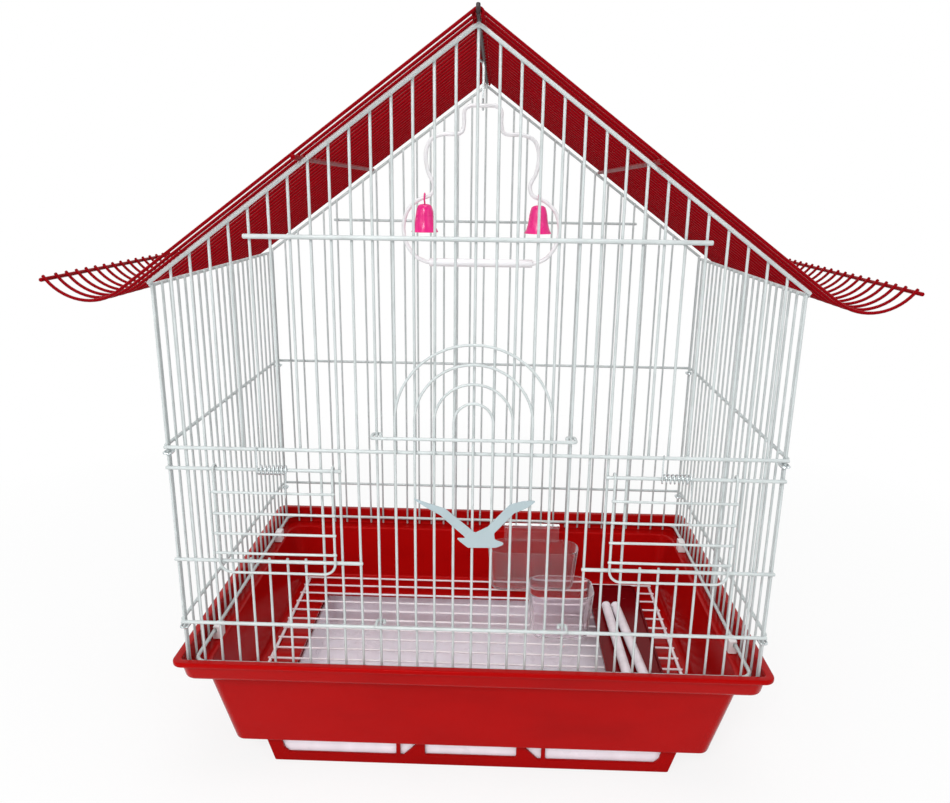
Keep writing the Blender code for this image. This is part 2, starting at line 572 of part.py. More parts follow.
def tub():
    """Rim, wire channel, funnel walls, floor with its hatch, and the bay for the drawer."""
    skirt_width = RIM_WIDTH - RIM_OVERHANG
    skirt_depth = RIM_DEPTH - RIM_OVERHANG
    skirt_low = RIM_TOP - RIM_THICK - SKIRT_DROP
    ledge = FOOT_HEIGHT - GAP
    inner_width = HALF_WIDTH + WIRE + GAP
    inner_depth = HALF_DEPTH + WIRE + GAP
    funnel_high = skirt_low - SKIRT_ROUND - FUNNEL_LOW

    def funnel(height, inset, corner):
        share = (height - FUNNEL_LOW) / funnel_high
        half = FUNNEL_LOW_WIDTH + (FUNNEL_TOP_WIDTH - FUNNEL_LOW_WIDTH) * share - inset
        front = FUNNEL_LOW_FRONT - (FUNNEL_TOP_DEPTH + FUNNEL_LOW_FRONT) * share + inset
        back = FUNNEL_LOW_DEPTH + (FUNNEL_TOP_DEPTH - FUNNEL_LOW_DEPTH) * share - inset
        return rounded_loop(-half, half, front, back, height, corner)

    floor_low = FLOOR_TOP - WALL
    narrow = SKIRT_TAPER + SKIRT_ROUND
    loops = [
        even_loop(RIM_WIDTH, RIM_DEPTH, RIM_TOP, RIM_CORNER),
        even_loop(RIM_WIDTH, RIM_DEPTH, RIM_TOP - RIM_THICK, RIM_CORNER),
        even_loop(skirt_width, skirt_depth, RIM_TOP - RIM_THICK, RIM_CORNER),
        even_loop(skirt_width - SKIRT_TAPER, skirt_depth - SKIRT_TAPER, skirt_low, RIM_CORNER),
        even_loop(skirt_width - narrow, skirt_depth - narrow, skirt_low - SKIRT_ROUND, RIM_CORNER),
        even_loop(FUNNEL_TOP_WIDTH, FUNNEL_TOP_DEPTH, skirt_low - SKIRT_ROUND, FUNNEL_CORNER),
        funnel(FUNNEL_LOW, 0, FUNNEL_CORNER),
        funnel(FUNNEL_LOW, WALL, FUNNEL_CORNER - WALL),
        funnel(floor_low, WALL, FUNNEL_CORNER - WALL),
        rounded_loop(-HATCH_WIDTH, HATCH_WIDTH, HATCH_FRONT, HATCH_BACK, floor_low, WALL),
        rounded_loop(-HATCH_WIDTH, HATCH_WIDTH, HATCH_FRONT, HATCH_BACK, FLOOR_TOP, WALL),
        funnel(FLOOR_TOP, WALL, FUNNEL_CORNER - WALL),
        even_loop(inner_width - LEDGE_WIDTH, inner_depth - LEDGE_WIDTH - WALL, ledge, LEDGE_CORNER),
        even_loop(inner_width, inner_depth, ledge, CHANNEL_CORNER),
        even_loop(RIM_WIDTH - RIM_FLAT, RIM_DEPTH - RIM_FLAT, RIM_TOP, CHANNEL_CORNER + GAP),
    ]
    body = make_object("tub", loft([list(reversed(loop)) for loop in loops], closed=True), RED_PLASTIC)
    top = FLOOR_TOP - WALL / 2
    walls = []
    for side in (-1, 1):
        upper = side * BAY_TOP_WIDTH
        lower = side * BAY_LOW_WIDTH
        out = side * BAY_WALL
        inward = side * RUNNER_WIDTH
        section = [(upper, top), (upper + out, top), (lower + out, 0), (lower - inward, 0),
                   (lower - inward, RUNNER_HEIGHT), (lower, RUNNER_HEIGHT)]
        outline = [Vector((x, BAY_FRONT, z)) for x, z in section]
        if side > 0:
            outline.reverse()
        walls.append(prism(outline, Y * (BAY_BACK - BAY_FRONT)))
    end = loft([[Vector((x, y, z)) for x, y in ((-w, BAY_BACK - BAY_WALL), (w, BAY_BACK - BAY_WALL),
                                                (w, BAY_BACK + BITE), (-w, BAY_BACK + BITE))]
                for w, z in ((BAY_LOW_WIDTH + BITE, 0), (BAY_TOP_WIDTH + BITE, top))])
    combine(body, group(walls), "UNION")
    return combine(body, end, "UNION")


def tub_clip(name, side, end):
    """A clip that stands on the ledge and hooks over the base ring."""
    ring = HALF_WIDTH - WIRE - GAP - BAR
    seat = RING_HEIGHT - BAR - GAP
    under_lip = RING_HEIGHT + BAR + GAP
    riser = ring - BAR - GAP
    section = [(riser - CLIP_THICK, FOOT_HEIGHT), (ring + BAR, FOOT_HEIGHT), (ring + BAR, seat),
               (riser, seat), (riser, under_lip), (ring + BAR / 2, under_lip),
               (ring + BAR / 2, under_lip + CLIP_LIP),
               (riser - CLIP_THICK, under_lip + CLIP_LIP)]
    start = end * (HALF_DEPTH - CLIP_PLACE) - CLIP_LENGTH / 2
    outline = [Vector((side * x, start, z)) for x, z in section]
    if side > 0:
        outline.reverse()
    return make_object(name, prism(outline, Y * CLIP_LENGTH), WHITE_PLASTIC)


def hooked_bar(y, height, radius):
    """A door's cross wire, with a hook at each end round an upright of the doorway."""
    post = DOOR_POST * PITCH
    room = WIRE + GAP + radius
    back = -HALF_DEPTH + room
    hook = [(post - room, -HALF_DEPTH - room / 2), (post - room, back), (post + room, back),
            (post + room, y)]
    path = [(-x, deep, height) for x, deep in hook] + [(x, deep, height) for x, deep in reversed(hook)]
    return wire(path, radius, Z)


def main_door():
    """Arched wires on two hooked bars, sliding on the uprights beside the doorway."""
    y = -(WALL_FRONT + GAP + WIRE)
    bottom = BOTTOM_BAR - STUB
    wires = [wire([(0, y, bottom), (0, y, TOP_BAR + STUB)], WIRE, Y)]
    for number, steps in enumerate(ARCH_STEPS):
        radius = (DOOR_POST - 1 - number) * PITCH
        crown = arc(Vector((0, y, ARCH_CENTRE)), radius, math.pi, -math.pi, steps, X, Z)
        wires.append(wire([(-radius, y, bottom)] + crown + [(radius, y, bottom)], WIRE, Y))
    bar_y = y - (WIRE + HOOK_BAR - BITE)
    bars = [hooked_bar(bar_y, height, HOOK_BAR) for height in (BOTTOM_BAR, TOP_BAR)]
    door = make_object("main_door", group(wires), WHITE_WIRE)
    return combine(door, group(bars), "UNION")


def bird_ornament():
    """A flying bird cut from sheet, on the front of the door's wires."""
    outline = ((-35.4, 30.5), (-27.0, 27.7), (-15.8, 24.2), (-7.1, 16.9), (1.7, 9.4), (9.0, 13.4),
               (17.0, 22.6), (21.5, 27.6), (29.0, 29.8), (37.2, 30.5), (31.9, 26.0), (23.9, 22.1),
               (12.7, 9.3), (13.2, 5.4), (19.8, 3.1), (14.0, 0.4), (5.9, 0.2), (-2.3, 0.0),
               (-10.2, 6.4), (-2.4, 5.4), (-11.2, 13.1), (-18.1, 19.8), (-27.0, 24.8))
    front = -(WALL_FRONT + GAP + 2 * WIRE + GAP)
    points = [Vector((x * MM, front, z * MM + BIRD_LOW)) for x, z in outline]
    return make_object("bird_ornament", prism(points[::-1], -Y * BIRD_THICK), SHEET)


def feeder_door(name, side):
    """A frame of one wire, hooked over the hinge bar, with four level wires on its front."""
    eye = BAR + GAP + DOOR_WIRE
    y = HINGE_Y - eye
    axis = Vector((0, HINGE_Y, HINGE_BAR))
    half = FEEDER_WIDTH / 2
    middle = side * FEEDER_CENTRE
    corner = eye / math.cos(math.radians(22.5))
    hook = arc(axis, corner, math.radians(-67.5), math.radians(225), 5, Y, Z)
    inner = half - FEEDER_CORNER
    low = Vector((0, y, FEEDER_BOTTOM + FEEDER_CORNER))
    turn = arc(low + X * inner, FEEDER_CORNER, 0, -math.pi / 2, 3, X, Z)
    right = [point + X * half for point in hook] + turn
    left = [Vector((-point.x, point.y, point.z)) for point in reversed(right)]
    frame = wire([point + X * middle for point in right + left], DOOR_WIRE, X)
    bar_y = y - (2 * DOOR_WIRE - BITE)
    reach = half + STUB
    bars = [level_wire(middle - reach, middle + reach, bar_y, z, DOOR_WIRE) for z in FEEDER_BARS]
    door = make_object(name, frame, WHITE_WIRE, (middle, HINGE_Y, HINGE_BAR))
    return combine(door, group(bars), "UNION")


def feeder_spring(name, side, leg):
    """A torsion spring round the hinge bar: one leg on the door, the other on the bar above."""
    axis_z = HINGE_BAR
    turns = SPRING_TURNS
    start = side * SPRING_MIDDLE + SPRING_LENGTH / 2
    leg_y = HINGE_Y - (BAR + GAP + 4 * DOOR_WIRE - BITE + DOOR_WIRE + GAP + SPRING_WIRE)
    top_y = -(HALF_DEPTH + BAR_OFFSET + BAR + GAP + SPRING_WIRE)
    coil = []
    for number in range(turns * SPRING_POINTS + 1):
        angle = math.pi - 2 * math.pi * number / SPRING_POINTS
        x = start - SPRING_LENGTH * number / (turns * SPRING_POINTS)
        coil.append(Vector((x, HINGE_Y + SPRING_RADIUS * math.cos(angle),
                            axis_z + SPRING_RADIUS * math.sin(angle))))
    knee = axis_z - 5 * SPRING_RADIUS
    first = [Vector((start, leg_y, axis_z - leg)), Vector((start, leg_y, knee))]
    last_x = start - SPRING_LENGTH
    last = [Vector((last_x, top_y, MID_BAR - 2 * BAR)), Vector((last_x, top_y, MID_BAR + SPRING_LEG_RISE))]
    points = first + coil + last
    gap = min((a - b).length for i, a in enumerate(coil) for j, b in enumerate(coil)
              if abs(i - j) > SPRING_POINTS / 2) - 2 * SPRING_WIRE
    print(name, "least gap to itself", round(gap / MM, 2), "mm")
    curve = bpy.data.curves.new(name, "CURVE")
    curve.dimensions = "3D"
    curve.bevel_depth = SPRING_WIRE
    curve.bevel_resolution = 1
    curve.use_fill_caps = True
    spline = curve.splines.new("POLY")
    spline.points.add(len(points) - 1)
    for spot, point in zip(spline.points, points):
        spot.co = (*point, 1)
    curve.materials.append(BRIGHT_WIRE)
    made = bpy.data.objects.new(name, curve)
    bpy.context.scene.collection.objects.link(made)
    return made


def drawer_front():
    """A face with two long windows, two ribs and a raised grip in the middle."""
    low = FACE_FOOT
    outline = [(-FACE_TOP_WIDTH, FACE_TOP), (-FACE_LOW_WIDTH, low), (FACE_LOW_WIDTH, low),
               (FACE_TOP_WIDTH, FACE_TOP)]
    face = prism([Vector((x, FACE_FRONT, z)) for x, z in reversed(outline)], Y * FACE_THICK)
    body = make_object("drawer_front", face, RED_PLASTIC)
    rib_in = RIB_PLACE - RIB_WIDTH / 2
    rib_out = RIB_PLACE + RIB_WIDTH / 2
    cuts = [[(-GRIP_WIDTH, GRIP_LOW), (GRIP_WIDTH, GRIP_LOW), (GRIP_WIDTH, WINDOW_TOP),
             (-GRIP_WIDTH, WINDOW_TOP)]]
    for side in (-1, 1):
        long_window = [(rib_out, WINDOW_LOW), (WINDOW_EDGE - 3 * MM, WINDOW_LOW),
                       (WINDOW_EDGE, WINDOW_LOW + 3 * MM), (WINDOW_EDGE + 2 * MM, WINDOW_TOP),
                       (rib_out, WINDOW_TOP)]
        ramp_window = [(RAMP_LOW, WINDOW_LOW), (rib_in, WINDOW_LOW), (rib_in, WINDOW_TOP),
                       (RAMP_TOP, WINDOW_TOP)]
        for window in (long_window, ramp_window):
            cut = [(side * x, z) for x, z in window]
            cuts.append(cut if side > 0 else cut[::-1])
    depth = Y * (FACE_THICK + 2 * WALL)
    tools = [prism([Vector((x, FACE_FRONT - WALL, z)) for x, z in reversed(cut)], depth) for cut in cuts]
    return combine(body, group(tools), "DIFFERENCE")


def drawer_tray():
    """An open tray that rides on the runners of the bay."""
    low = RUNNER_HEIGHT + GAP
    front = BAY_FRONT
    back = BAY_BACK - BAY_WALL - TRAY_ROOM

    def level(height, inset):
        half = BAY_LOW_WIDTH + BAY_LEAN * height - 2 * GAP - inset
        return rounded_loop(-half, half, front + inset, back - inset, height, WALL - inset / 2, 2)

    top = FACE_TOP - GAP
    loops = [level(low, 0), level(top, 0), level(top, TRAY_WALL), level(low + TRAY_WALL, TRAY_WALL)]
    return make_object("drawer_tray", loft(loops), WHITE_PLASTIC)


def floor_grille():
    """Level wires on two rails, standing on the floor of the tub."""
    first = -GRILLE_PITCH * (GRILLE_ROWS - 1) / 2
    reach = GRILLE_RAIL + STUB
    row_z = GRILLE_Z + BAR_OFFSET
    places = [first + GRILLE_PITCH * number for number in range(GRILLE_ROWS)]
    rows = [wire([(-reach, y, row_z), (reach, y, row_z)], WIRE, Z) for y in places]
    end = -first + STUB
    rails = [wire([(side * GRILLE_RAIL, -end, GRILLE_Z), (side * GRILLE_RAIL, end, GRILLE_Z)], BAR, Z)
             for side in (-1, 1)]
    return combine(make_object("floor_grille", group(rows), WHITE_WIRE), group(rails), "UNION")


def feeder_cup(name, edges, hood=False):
    """A clear cup that stands on the grille, and its back plate where it has one."""
    left, right, front, back = edges
    low = GRILLE_TOP + GAP
    top = low + CUP_HEIGHT

    def level(height, wall):
        inset = wall + CUP_TAPER * (top - height) / CUP_HEIGHT
        return rounded_loop(left + inset, right - inset, front + inset, back - inset, height,
                            CUP_CORNER - inset, 4)

    loops = [level(low, 0), level(top, 0), level(top, CUP_WALL), level(low + CUP_WALL, CUP_WALL)]
    cup = make_object(name, loft(loops), CLEAR_PLASTIC)
    if not hood:
        return cup
    plate = box((left + HOOD_LEFT, back - CUP_WALL * 0.9, top - CUP_WALL),
                (right - HOOD_RIGHT, back - CUP_WALL * 0.1, top + HOOD_RISE))
    return combine(cup, plate, "UNION")


def perch_trough():
    low = GRILLE_TOP + GAP

    def level(height, inset):
        return rounded_loop(TROUGH_LEFT + inset, TROUGH_RIGHT - inset, TROUGH_FRONT + inset,
                            TROUGH_BACK - inset, height, 2 * WALL - inset, 2)

    top = low + TROUGH_HEIGHT
    loops = [level(low, 0), level(top, 0), level(top, TROUGH_WALL), level(low + TROUGH_WALL, TROUGH_WALL)]
    return make_object("perch_trough", loft(loops), DARK_RED)


def loose_perch(name, side):
    """A rod with a groove near each end, lying in the trough."""
    half = PERCH_LENGTH / 2
    groove = PERCH_RADIUS - PERCH_GROOVE
    profile = [(0, half), (PERCH_RADIUS, half)]
    for end in (1, -1):
        marks = [(PERCH_RADIUS, half - 3 * MM), (groove, half - 3.6 * MM), (groove, half - 6 * MM),
                 (PERCH_RADIUS, half - 6.6 * MM)]
        if end < 0:
            marks = [(radius, -height) for radius, height in reversed(marks)]
        profile += marks
    profile += [(PERCH_RADIUS, -half), (0, -half)]
    rod = turned(profile, ROUND, Vector((0, 0, 0)), Y)
    height = GRILLE_TOP + GAP + TROUGH_WALL + GAP + PERCH_RADIUS
    number = (side + 1) // 2
    across = TROUGH_LEFT + PERCH_PLACE + number * (2 * PERCH_RADIUS + GAP)
    turn = Matrix.Rotation(PERCH_TURNS[number], 4, "Z")
    place = Matrix.Translation((across, PERCH_BACK, height)) @ turn @ Matrix.Translation(Y * -half)
    return make_object(name, rod.moved(place), PERCH_PLASTIC)


def smooth_path(points, steps):
    """A curve through all the points, as straight pieces."""
    points = [Vector(point) for point in points]
    padded = [2 * points[0] - points[1]] + points + [2 * points[-1] - points[-2]]
    path = []
    for a, b, c, d in zip(padded, padded[1:], padded[2:], padded[3:]):
        for step in range(steps):
            t = step / steps
            path.append(0.5 * (2 * b + (c - a) * t + (2 * a - 5 * b + 4 * c - d) * t * t
                               + (3 * b - a - 3 * c + d) * t ** 3))
    return path + [points[-1]]


def swing_outline(steps):
    return smooth_path([(x * MM, 0, SWING_TOP - drop * MM) for x, drop in SWING_OUTLINE], steps)


def swing_frame():
    right = swing_outline(SWING_STEPS)
    inner = SWING_PERCH_REACH - SOCKET_DEPTH + GAP
    right += [Vector((SWING_PERCH_REACH, 0, SWING_PERCH_HEIGHT)), Vector((inner, 0, SWING_PERCH_HEIGHT))]
    left = [Vector((-point.x, 0, point.z)) for point in reversed(right)]
    return make_object("swing_frame", wire(left + right, SWING_ROD, Y, 6), WHITE_PLASTIC, (0, 0, SWING_TOP))


def swing_hook():
    """An eye on the ridge wire, a short shank, and an eye across it round the swing's top rod."""
    upper = Z * RIDGE_HEIGHT
    lower = Z * SWING_TOP
    upper_eye = (RIDGE_RADIUS + GAP + THIN) / math.cos(math.pi / 8)
    lower_eye = (SWING_ROD + GAP + THIN) / math.cos(math.pi / 8)
    over = arc(upper, upper_eye, math.radians(-22.5), math.radians(225), 5, X, Z)
    under = arc(lower, lower_eye, math.radians(112.5), math.radians(-225), 5, Y, Z)
    neck = 2.5 * (RIDGE_RADIUS + GAP + THIN)
    shank = [upper - Z * neck, lower + Z * neck]
    path = over + shank + under
    return make_object("swing_hook", wire(path, THIN, Y), BRIGHT_WIRE, upper)


def swing_perch():
    reach = SWING_PERCH_REACH
    bore = SWING_ROD + GAP
    depth = reach - SOCKET_DEPTH
    radius = SWING_PERCH_RADIUS
    profile = [(0, depth), (bore, depth), (bore, reach), (radius, reach), (radius, -reach), (bore, -reach),
               (bore, -depth), (0, -depth)]
    return make_object("swing_perch", turned(profile, 10, Z * SWING_PERCH_HEIGHT, X), WHITE_PLASTIC,
                       (0, 0, SWING_TOP))


def swing_rod_height(x):
    """Height of the swing frame's rod over a place on the shoulder of its lower lobe."""
    steps = 8
    shoulder = swing_outline(steps)[SWING_WAIST * steps:(SWING_WAIST + 2) * steps]
    return min(shoulder, key=lambda point: abs(point.x - x)).z


def bell(name, side):
    """A hollow bell on a hook round the swing frame."""
    axis = Vector((side * BELL_PLACE, 0, swing_rod_height(BELL_PLACE)))
    eye = (SWING_ROD + 2 * GAP + BELL_HOOK) / math.cos(math.pi / 8)
    cup = turned([(radius * MM, height * MM) for radius, height in BELL_PROFILE], 12, axis)
    hook = arc(axis, eye, math.radians(-22.5), math.radians(225), 5, Y, Z)
    shank = [axis - Z * eye * 1.25, axis - Z * 5.4 * MM]
    made = make_object(name, cup, MAGENTA, axis)
    return combine(made, wire(hook + shank, BELL_HOOK, X), "UNION")


clear_scene()
WHITE_WIRE = material("white_coated_wire", (0.78, 0.82, 0.83), 0.35)
BACK_WIRE = material("white_coated_wire_back", (0.76, 0.80, 0.81), 0.35)
SIDE_WIRE = material("white_coated_wire_side", (0.77, 0.81, 0.82), 0.35)
RED_WIRE = material("red_coated_wire", (0.42, 0.006, 0.012), 0.35)
DARK_WIRE = material("dark_wire", (0.03, 0.008, 0.01), 0.45)
BRIGHT_WIRE = material("bright_wire", (0.72, 0.76, 0.77), 0.25, metallic=0.8)
SHEET = material("painted_sheet", (0.42, 0.58, 0.60), 0.35)
RED_PLASTIC = material("red_plastic", (0.45, 0.008, 0.008), 0.22)
DARK_RED = material("dark_red_plastic", (0.16, 0.002, 0.006), 0.3)
WHITE_PLASTIC = material("white_plastic", (0.80, 0.78, 0.79), 0.3)
PERCH_PLASTIC = material("perch_plastic", (0.72, 0.66, 0.70), 0.4)
CLEAR_PLASTIC = material("clear_plastic", (0.9, 0.88, 0.9), 0.08, alpha=0.35)
MAGENTA = material("magenta_plastic", (0.73, 0.013, 0.19), 0.3)

front_wall()
back_panel()
side_panel("side_panel_left", -1)
side_panel("side_panel_right", 1)
roof("roof_left", -1)
roof("roof_right", 1)
ridge_wire()
base_ring()
tub()
main_door()
bird_ornament()
drawer_front()
drawer_tray()
floor_grille()
feeder_cup("feeder_cup_back", BACK_CUP, hood=True)
feeder_cup("feeder_cup_front", FRONT_CUP)
perch_trough()
swing_hook()
swing_frame()
swing_perch()
for side, word in ((-1, "left"), (1, "right")):
    feeder_door("feeder_door_" + word, side)
    feeder_spring("feeder_spring_" + word, side, SPRING_LEGS[(side + 1) // 2])
    loose_perch("perch_" + word, side)
    bell("bell_" + word, side)
    for end, place in ((-1, "front"), (1, "back")):
        tub_clip("tub_clip_" + word + "_" + place, side, end)
        corner_ring("corner_ring_" + word + "_" + place + "_low", side, end, LOW_BAR - RING_DROP)
        corner_ring("corner_ring_" + word + "_" + place + "_high", side, end, MID_BAR - RING_DROP)
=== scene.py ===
"""Dressed wire bird cage: round coated wires, moulded tub, drawer, cups and swing."""

import math
import random

import bpy
from mathutils import Matrix, Vector


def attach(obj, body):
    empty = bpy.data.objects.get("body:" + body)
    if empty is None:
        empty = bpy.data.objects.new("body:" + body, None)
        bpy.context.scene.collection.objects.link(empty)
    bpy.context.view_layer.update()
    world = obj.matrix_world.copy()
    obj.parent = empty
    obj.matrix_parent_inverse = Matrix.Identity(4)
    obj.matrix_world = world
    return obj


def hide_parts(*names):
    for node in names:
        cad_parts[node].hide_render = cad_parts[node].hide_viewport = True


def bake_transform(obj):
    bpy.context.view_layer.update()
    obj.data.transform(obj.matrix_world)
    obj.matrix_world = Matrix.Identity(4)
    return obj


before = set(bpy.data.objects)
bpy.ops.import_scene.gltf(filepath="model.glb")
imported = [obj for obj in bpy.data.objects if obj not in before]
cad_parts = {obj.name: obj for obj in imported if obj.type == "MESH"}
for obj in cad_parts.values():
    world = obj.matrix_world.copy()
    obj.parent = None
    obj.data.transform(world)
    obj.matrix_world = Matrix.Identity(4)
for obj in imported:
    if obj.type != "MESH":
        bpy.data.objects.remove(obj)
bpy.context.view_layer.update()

X = Vector((1, 0, 0))
Y = Vector((0, 1, 0))
Z = Vector((0, 0, 1))
MM = 0.001

# Fits and wire radii, in millimetres as all lengths down to the camera
GAP = 0.35
BITE = 0.45
STUB = 1.5
LEAST_CORNER = 0.5
HOOK_CORNER = 0.8               # as a share of the room about a wire
WIRE = 0.95
BAR = 1.2
HEAVY = 1.4
THIN = 0.8
BAR_OFFSET = WIRE + BAR - BITE
HEAVY_OFFSET = WIRE + HEAVY - BITE
BOW = 0.3                       # how far an upright may bow sideways
STRAIGHT_BELOW = 60.0           # shorter uprights stay straight

# Radii of the round wires, which stay within the corners of the square ones that they stand for
UPRIGHT = 0.78
CROSS_BAR = 1.08
HEAVY_BAR = 1.3
RAFTER = 0.88
DOOR_ROD = 0.76

# Radii of the weld beads where wires cross
BEAD = 1.2
BEAD_DEEP = 1.0
DOOR_BEAD_DEEP = 0.95
ROOF_BEAD = 1.3

SIDES = ((-1, "left"), (1, "right"))
ENDS = ((-1, "front"), (1, "back"))

# Walls; a doorway's uprights and the ends of cross wires are counted from the middle upright
PITCH = 11.0
MIDDLE = 16
HALF_WIDTH = PITCH * MIDDLE
HALF_DEPTH = 115.5
SIDE_GAPS = 21
SIDE_REACH = HALF_DEPTH - 2 * WIRE - 2 * GAP
FOOT_HEIGHT = 80.8
LOW_BAR = 117.5
SILL_BAR = 159.6
HINGE_BAR = 217.6
MID_BAR = 230.0
EAVE = 324.4
GABLE_BAR = 349.2
APEX = 453.2
GABLE_BAR_COUNT = 11
GABLE_BEND = 4.0
DOOR_POST = 5
FEEDER_FIRST = 8
FEEDER_LAST = 13
HINGE_BAR_INNER = 7
SILL_BAR_INNER = 6
WALL_FRONT = HALF_DEPTH + HEAVY_OFFSET + HEAVY
GABLE_SLOPE = (APEX - EAVE) / HALF_WIDTH
GABLE_ANGLE = math.atan(GABLE_SLOPE)

# Doors
TOP_BAR = 239.5
HOOK_BAR = 1.0
BOTTOM_BAR = LOW_BAR + BAR + GAP + HOOK_BAR
ARCH_CENTRE = 249.3
ARCHES = 4
HINGE_Y = -(HALF_DEPTH + BAR_OFFSET)
FEEDER_CENTRE = 114.9
FEEDER_HALF = 34.35
FEEDER_DROP = 64.3
FEEDER_BOTTOM = HINGE_BAR - FEEDER_DROP
FEEDER_BARS = tuple(HINGE_BAR - FEEDER_DROP * share for share in (0.2, 0.406, 0.602, 0.795))
FEEDER_CORNER = 7.0
DOOR_WIRE = 0.9
DOOR_BOW = 0.2
SPRING_WIRE = 0.5
SPRING_TURNS = 7
SPRING_RADIUS = 2.5
SPRING_LENGTH = 16.6
SPRING_MIDDLE = 115.2
SPRING_LEGS = (14.6, 27.6)
SPRING_TIP = 2.5
SPRING_BEND = 3.0
BIRD_THICK = 0.8
BIRD_HEIGHT = 174.2
BIRD_OUTLINE = ((-35.4, 30.5), (-27.0, 27.7), (-15.8, 24.2), (-7.1, 16.9), (1.7, 9.4), (9.0, 13.4),
                (17.0, 22.6), (21.5, 27.6), (29.0, 29.8), (37.2, 30.5), (31.9, 26.0), (23.9, 22.1),
                (12.7, 9.3), (13.2, 5.4), (19.8, 3.1), (14.0, 0.4), (5.9, 0.2), (-2.3, 0.0),
                (-10.2, 6.4), (-2.4, 5.4), (-11.2, 13.1), (-18.1, 19.8), (-27.0, 24.8))

# Roof
ROOF_WIRES = 24
ROOF_STAGGER = 1.3
ROOF_LAP = 3.0
FLARE_START = 190.0
FLARE_RADIUS = 27.8
FLARE_ANGLE = math.radians(94.2)
RAFTER_BAR = 93.5
TIP_BAR = 1.1
TIP_BAR_OFFSET = 1.35
TIP_STUB = 1.8
RIDGE_RADIUS = 1.1
RIDGE_TIP = 4.2
RIDGE_BEND = 2.2
RIDGE_BEAD = 1.15
RIDGE_HEIGHT = APEX + BAR / math.cos(GABLE_ANGLE) + GAP + RIDGE_RADIUS
ROOF_HOOK = RIDGE_RADIUS + GAP + WIRE
ROOF_RISE = RIDGE_HEIGHT + ROOF_HOOK / math.cos(GABLE_ANGLE) - APEX
ROOF_INNER = HALF_DEPTH - GAP - 2 * WIRE - ROOF_STAGGER
ROOF_OUTER = HALF_DEPTH + BAR_OFFSET + BAR + GAP + WIRE + ROOF_STAGGER + ROOF_LAP
RIDGE_END = ROOF_OUTER + ROOF_STAGGER + WIRE + GAP + RIDGE_RADIUS

# Tub and drawer
RIM_WIDTH = HALF_WIDTH + 8.5
RIM_DEPTH = HALF_DEPTH + 8.5
RIM_TOP = 92.5
RIM_THICK = 3.0
RIM_CORNER = 7.0
RIM_OVERHANG = 3.6
RIM_INNER = 5.0
RIM_INNER_CORNER = 2.4
SKIRT_INSET = 5.5
LEDGE = FOOT_HEIGHT - GAP
LEDGE_WIDE = 8.9
LEDGE_DEEP = 11.1
LEDGE_CORNER = 11.8
CHANNEL_CORNER = 2.0
FUNNEL_TOP = (170.0, 108.4, 77.5)
FUNNEL_LOW = (156.0, 97.0, 22.5)
FUNNEL_LOW_FRONT = -103.0       # the front of the funnel is steeper than its back
FUNNEL_CORNER = 7.0
WALL = 2.2
FLOOR_TOP = 35.0
HATCH = (-131.4, 131.4, -88.0, 67.0)
HATCH_CORNER = 2.2
BAY_LOW_WIDTH = 129.73
BAY_LEAN = 0.3037
BAY_TOP_WIDTH = BAY_LOW_WIDTH + BAY_LEAN * (FLOOR_TOP - WALL / 2)
BAY_FRONT = -92.5
BAY_BACK = 96.0
BAY_WALL = 1.8
BAY_LAP = 0.4
RUNNER_WIDTH = 6.0
RUNNER_HEIGHT = 2.0
FACE_TOP = FUNNEL_LOW[2] - 2 * GAP
FACE_THICK = 2.2
FACE_FRONT = BAY_FRONT - GAP - FACE_THICK
FACE_OUTLINE = ((-138.5, FACE_TOP), (-132.0, 0.4), (132.0, 0.4), (138.5, FACE_TOP))
WINDOW_LOW = 7.0
WINDOW_TOP = 18.5
GRIP = ((-30.5, 8.0), (30.5, 8.0), (30.5, WINDOW_TOP), (-30.5, WINDOW_TOP))
WINDOW = ((49.9, WINDOW_LOW), (122.5, WINDOW_LOW), (125.5, 10.0), (127.5, WINDOW_TOP), (49.9, WINDOW_TOP))
RAMP = ((45.0, WINDOW_LOW), (47.1, WINDOW_LOW), (47.1, WINDOW_TOP), (33.5, WINDOW_TOP))
TRAY_WALL = 1.6
TRAY_CORNER = 4.0
TRAY_BACK = 93.3

# Loose parts
GRILLE_RAIL = 151.0
GRILLE_ROWS = 14
GRILLE_PITCH = 13.7
GRILLE_Z = FLOOR_TOP + GAP + BAR
GRILLE_TOP = GRILLE_Z + BAR_OFFSET + WIRE
TROUGH = (95.0, 136.0, -88.0, 80.0)
TROUGH_HEIGHT = 4.0
TROUGH_WALL = 1.4
TROUGH_CORNER = 4.4
CUP_BACK = (8.0, 86.0, 67.5, 97.0)
CUP_FRONT = (40.0, 91.0, -6.5, 31.5)
CUP_WALL = 1.2
CUP_HEIGHT = 37.5
CUP_CORNER = 13.0
CUP_TAPER = 3.5
HOOD = (22.0, 70.0, 15.0)       # its left and right edge, and its height over the cup
HOOD_INSET = 0.2
HOOD_REACH = 5.2
HOOD_FOOT = 1.6
PERCH_LENGTH = 128.0
PERCH_RADIUS = 3.6
PERCH_BACK = 43.5
PERCH_EDGE = 0.7
PERCH_STEP = 30.0
GROOVE_DEPTH = 0.9
GROOVE = (2.8, 3.6, 6.0, 6.8)   # how far the marks of its outline lie from the end
RING_HEIGHT = 87.0
RING_CORNER = 8.0
RING_DROP = 3.8
CLIP_THICK = 3.0
CLIP_WIDTH = 8.0
CLIP_PLACE = 74.0
CLIP_LIP = 1.6

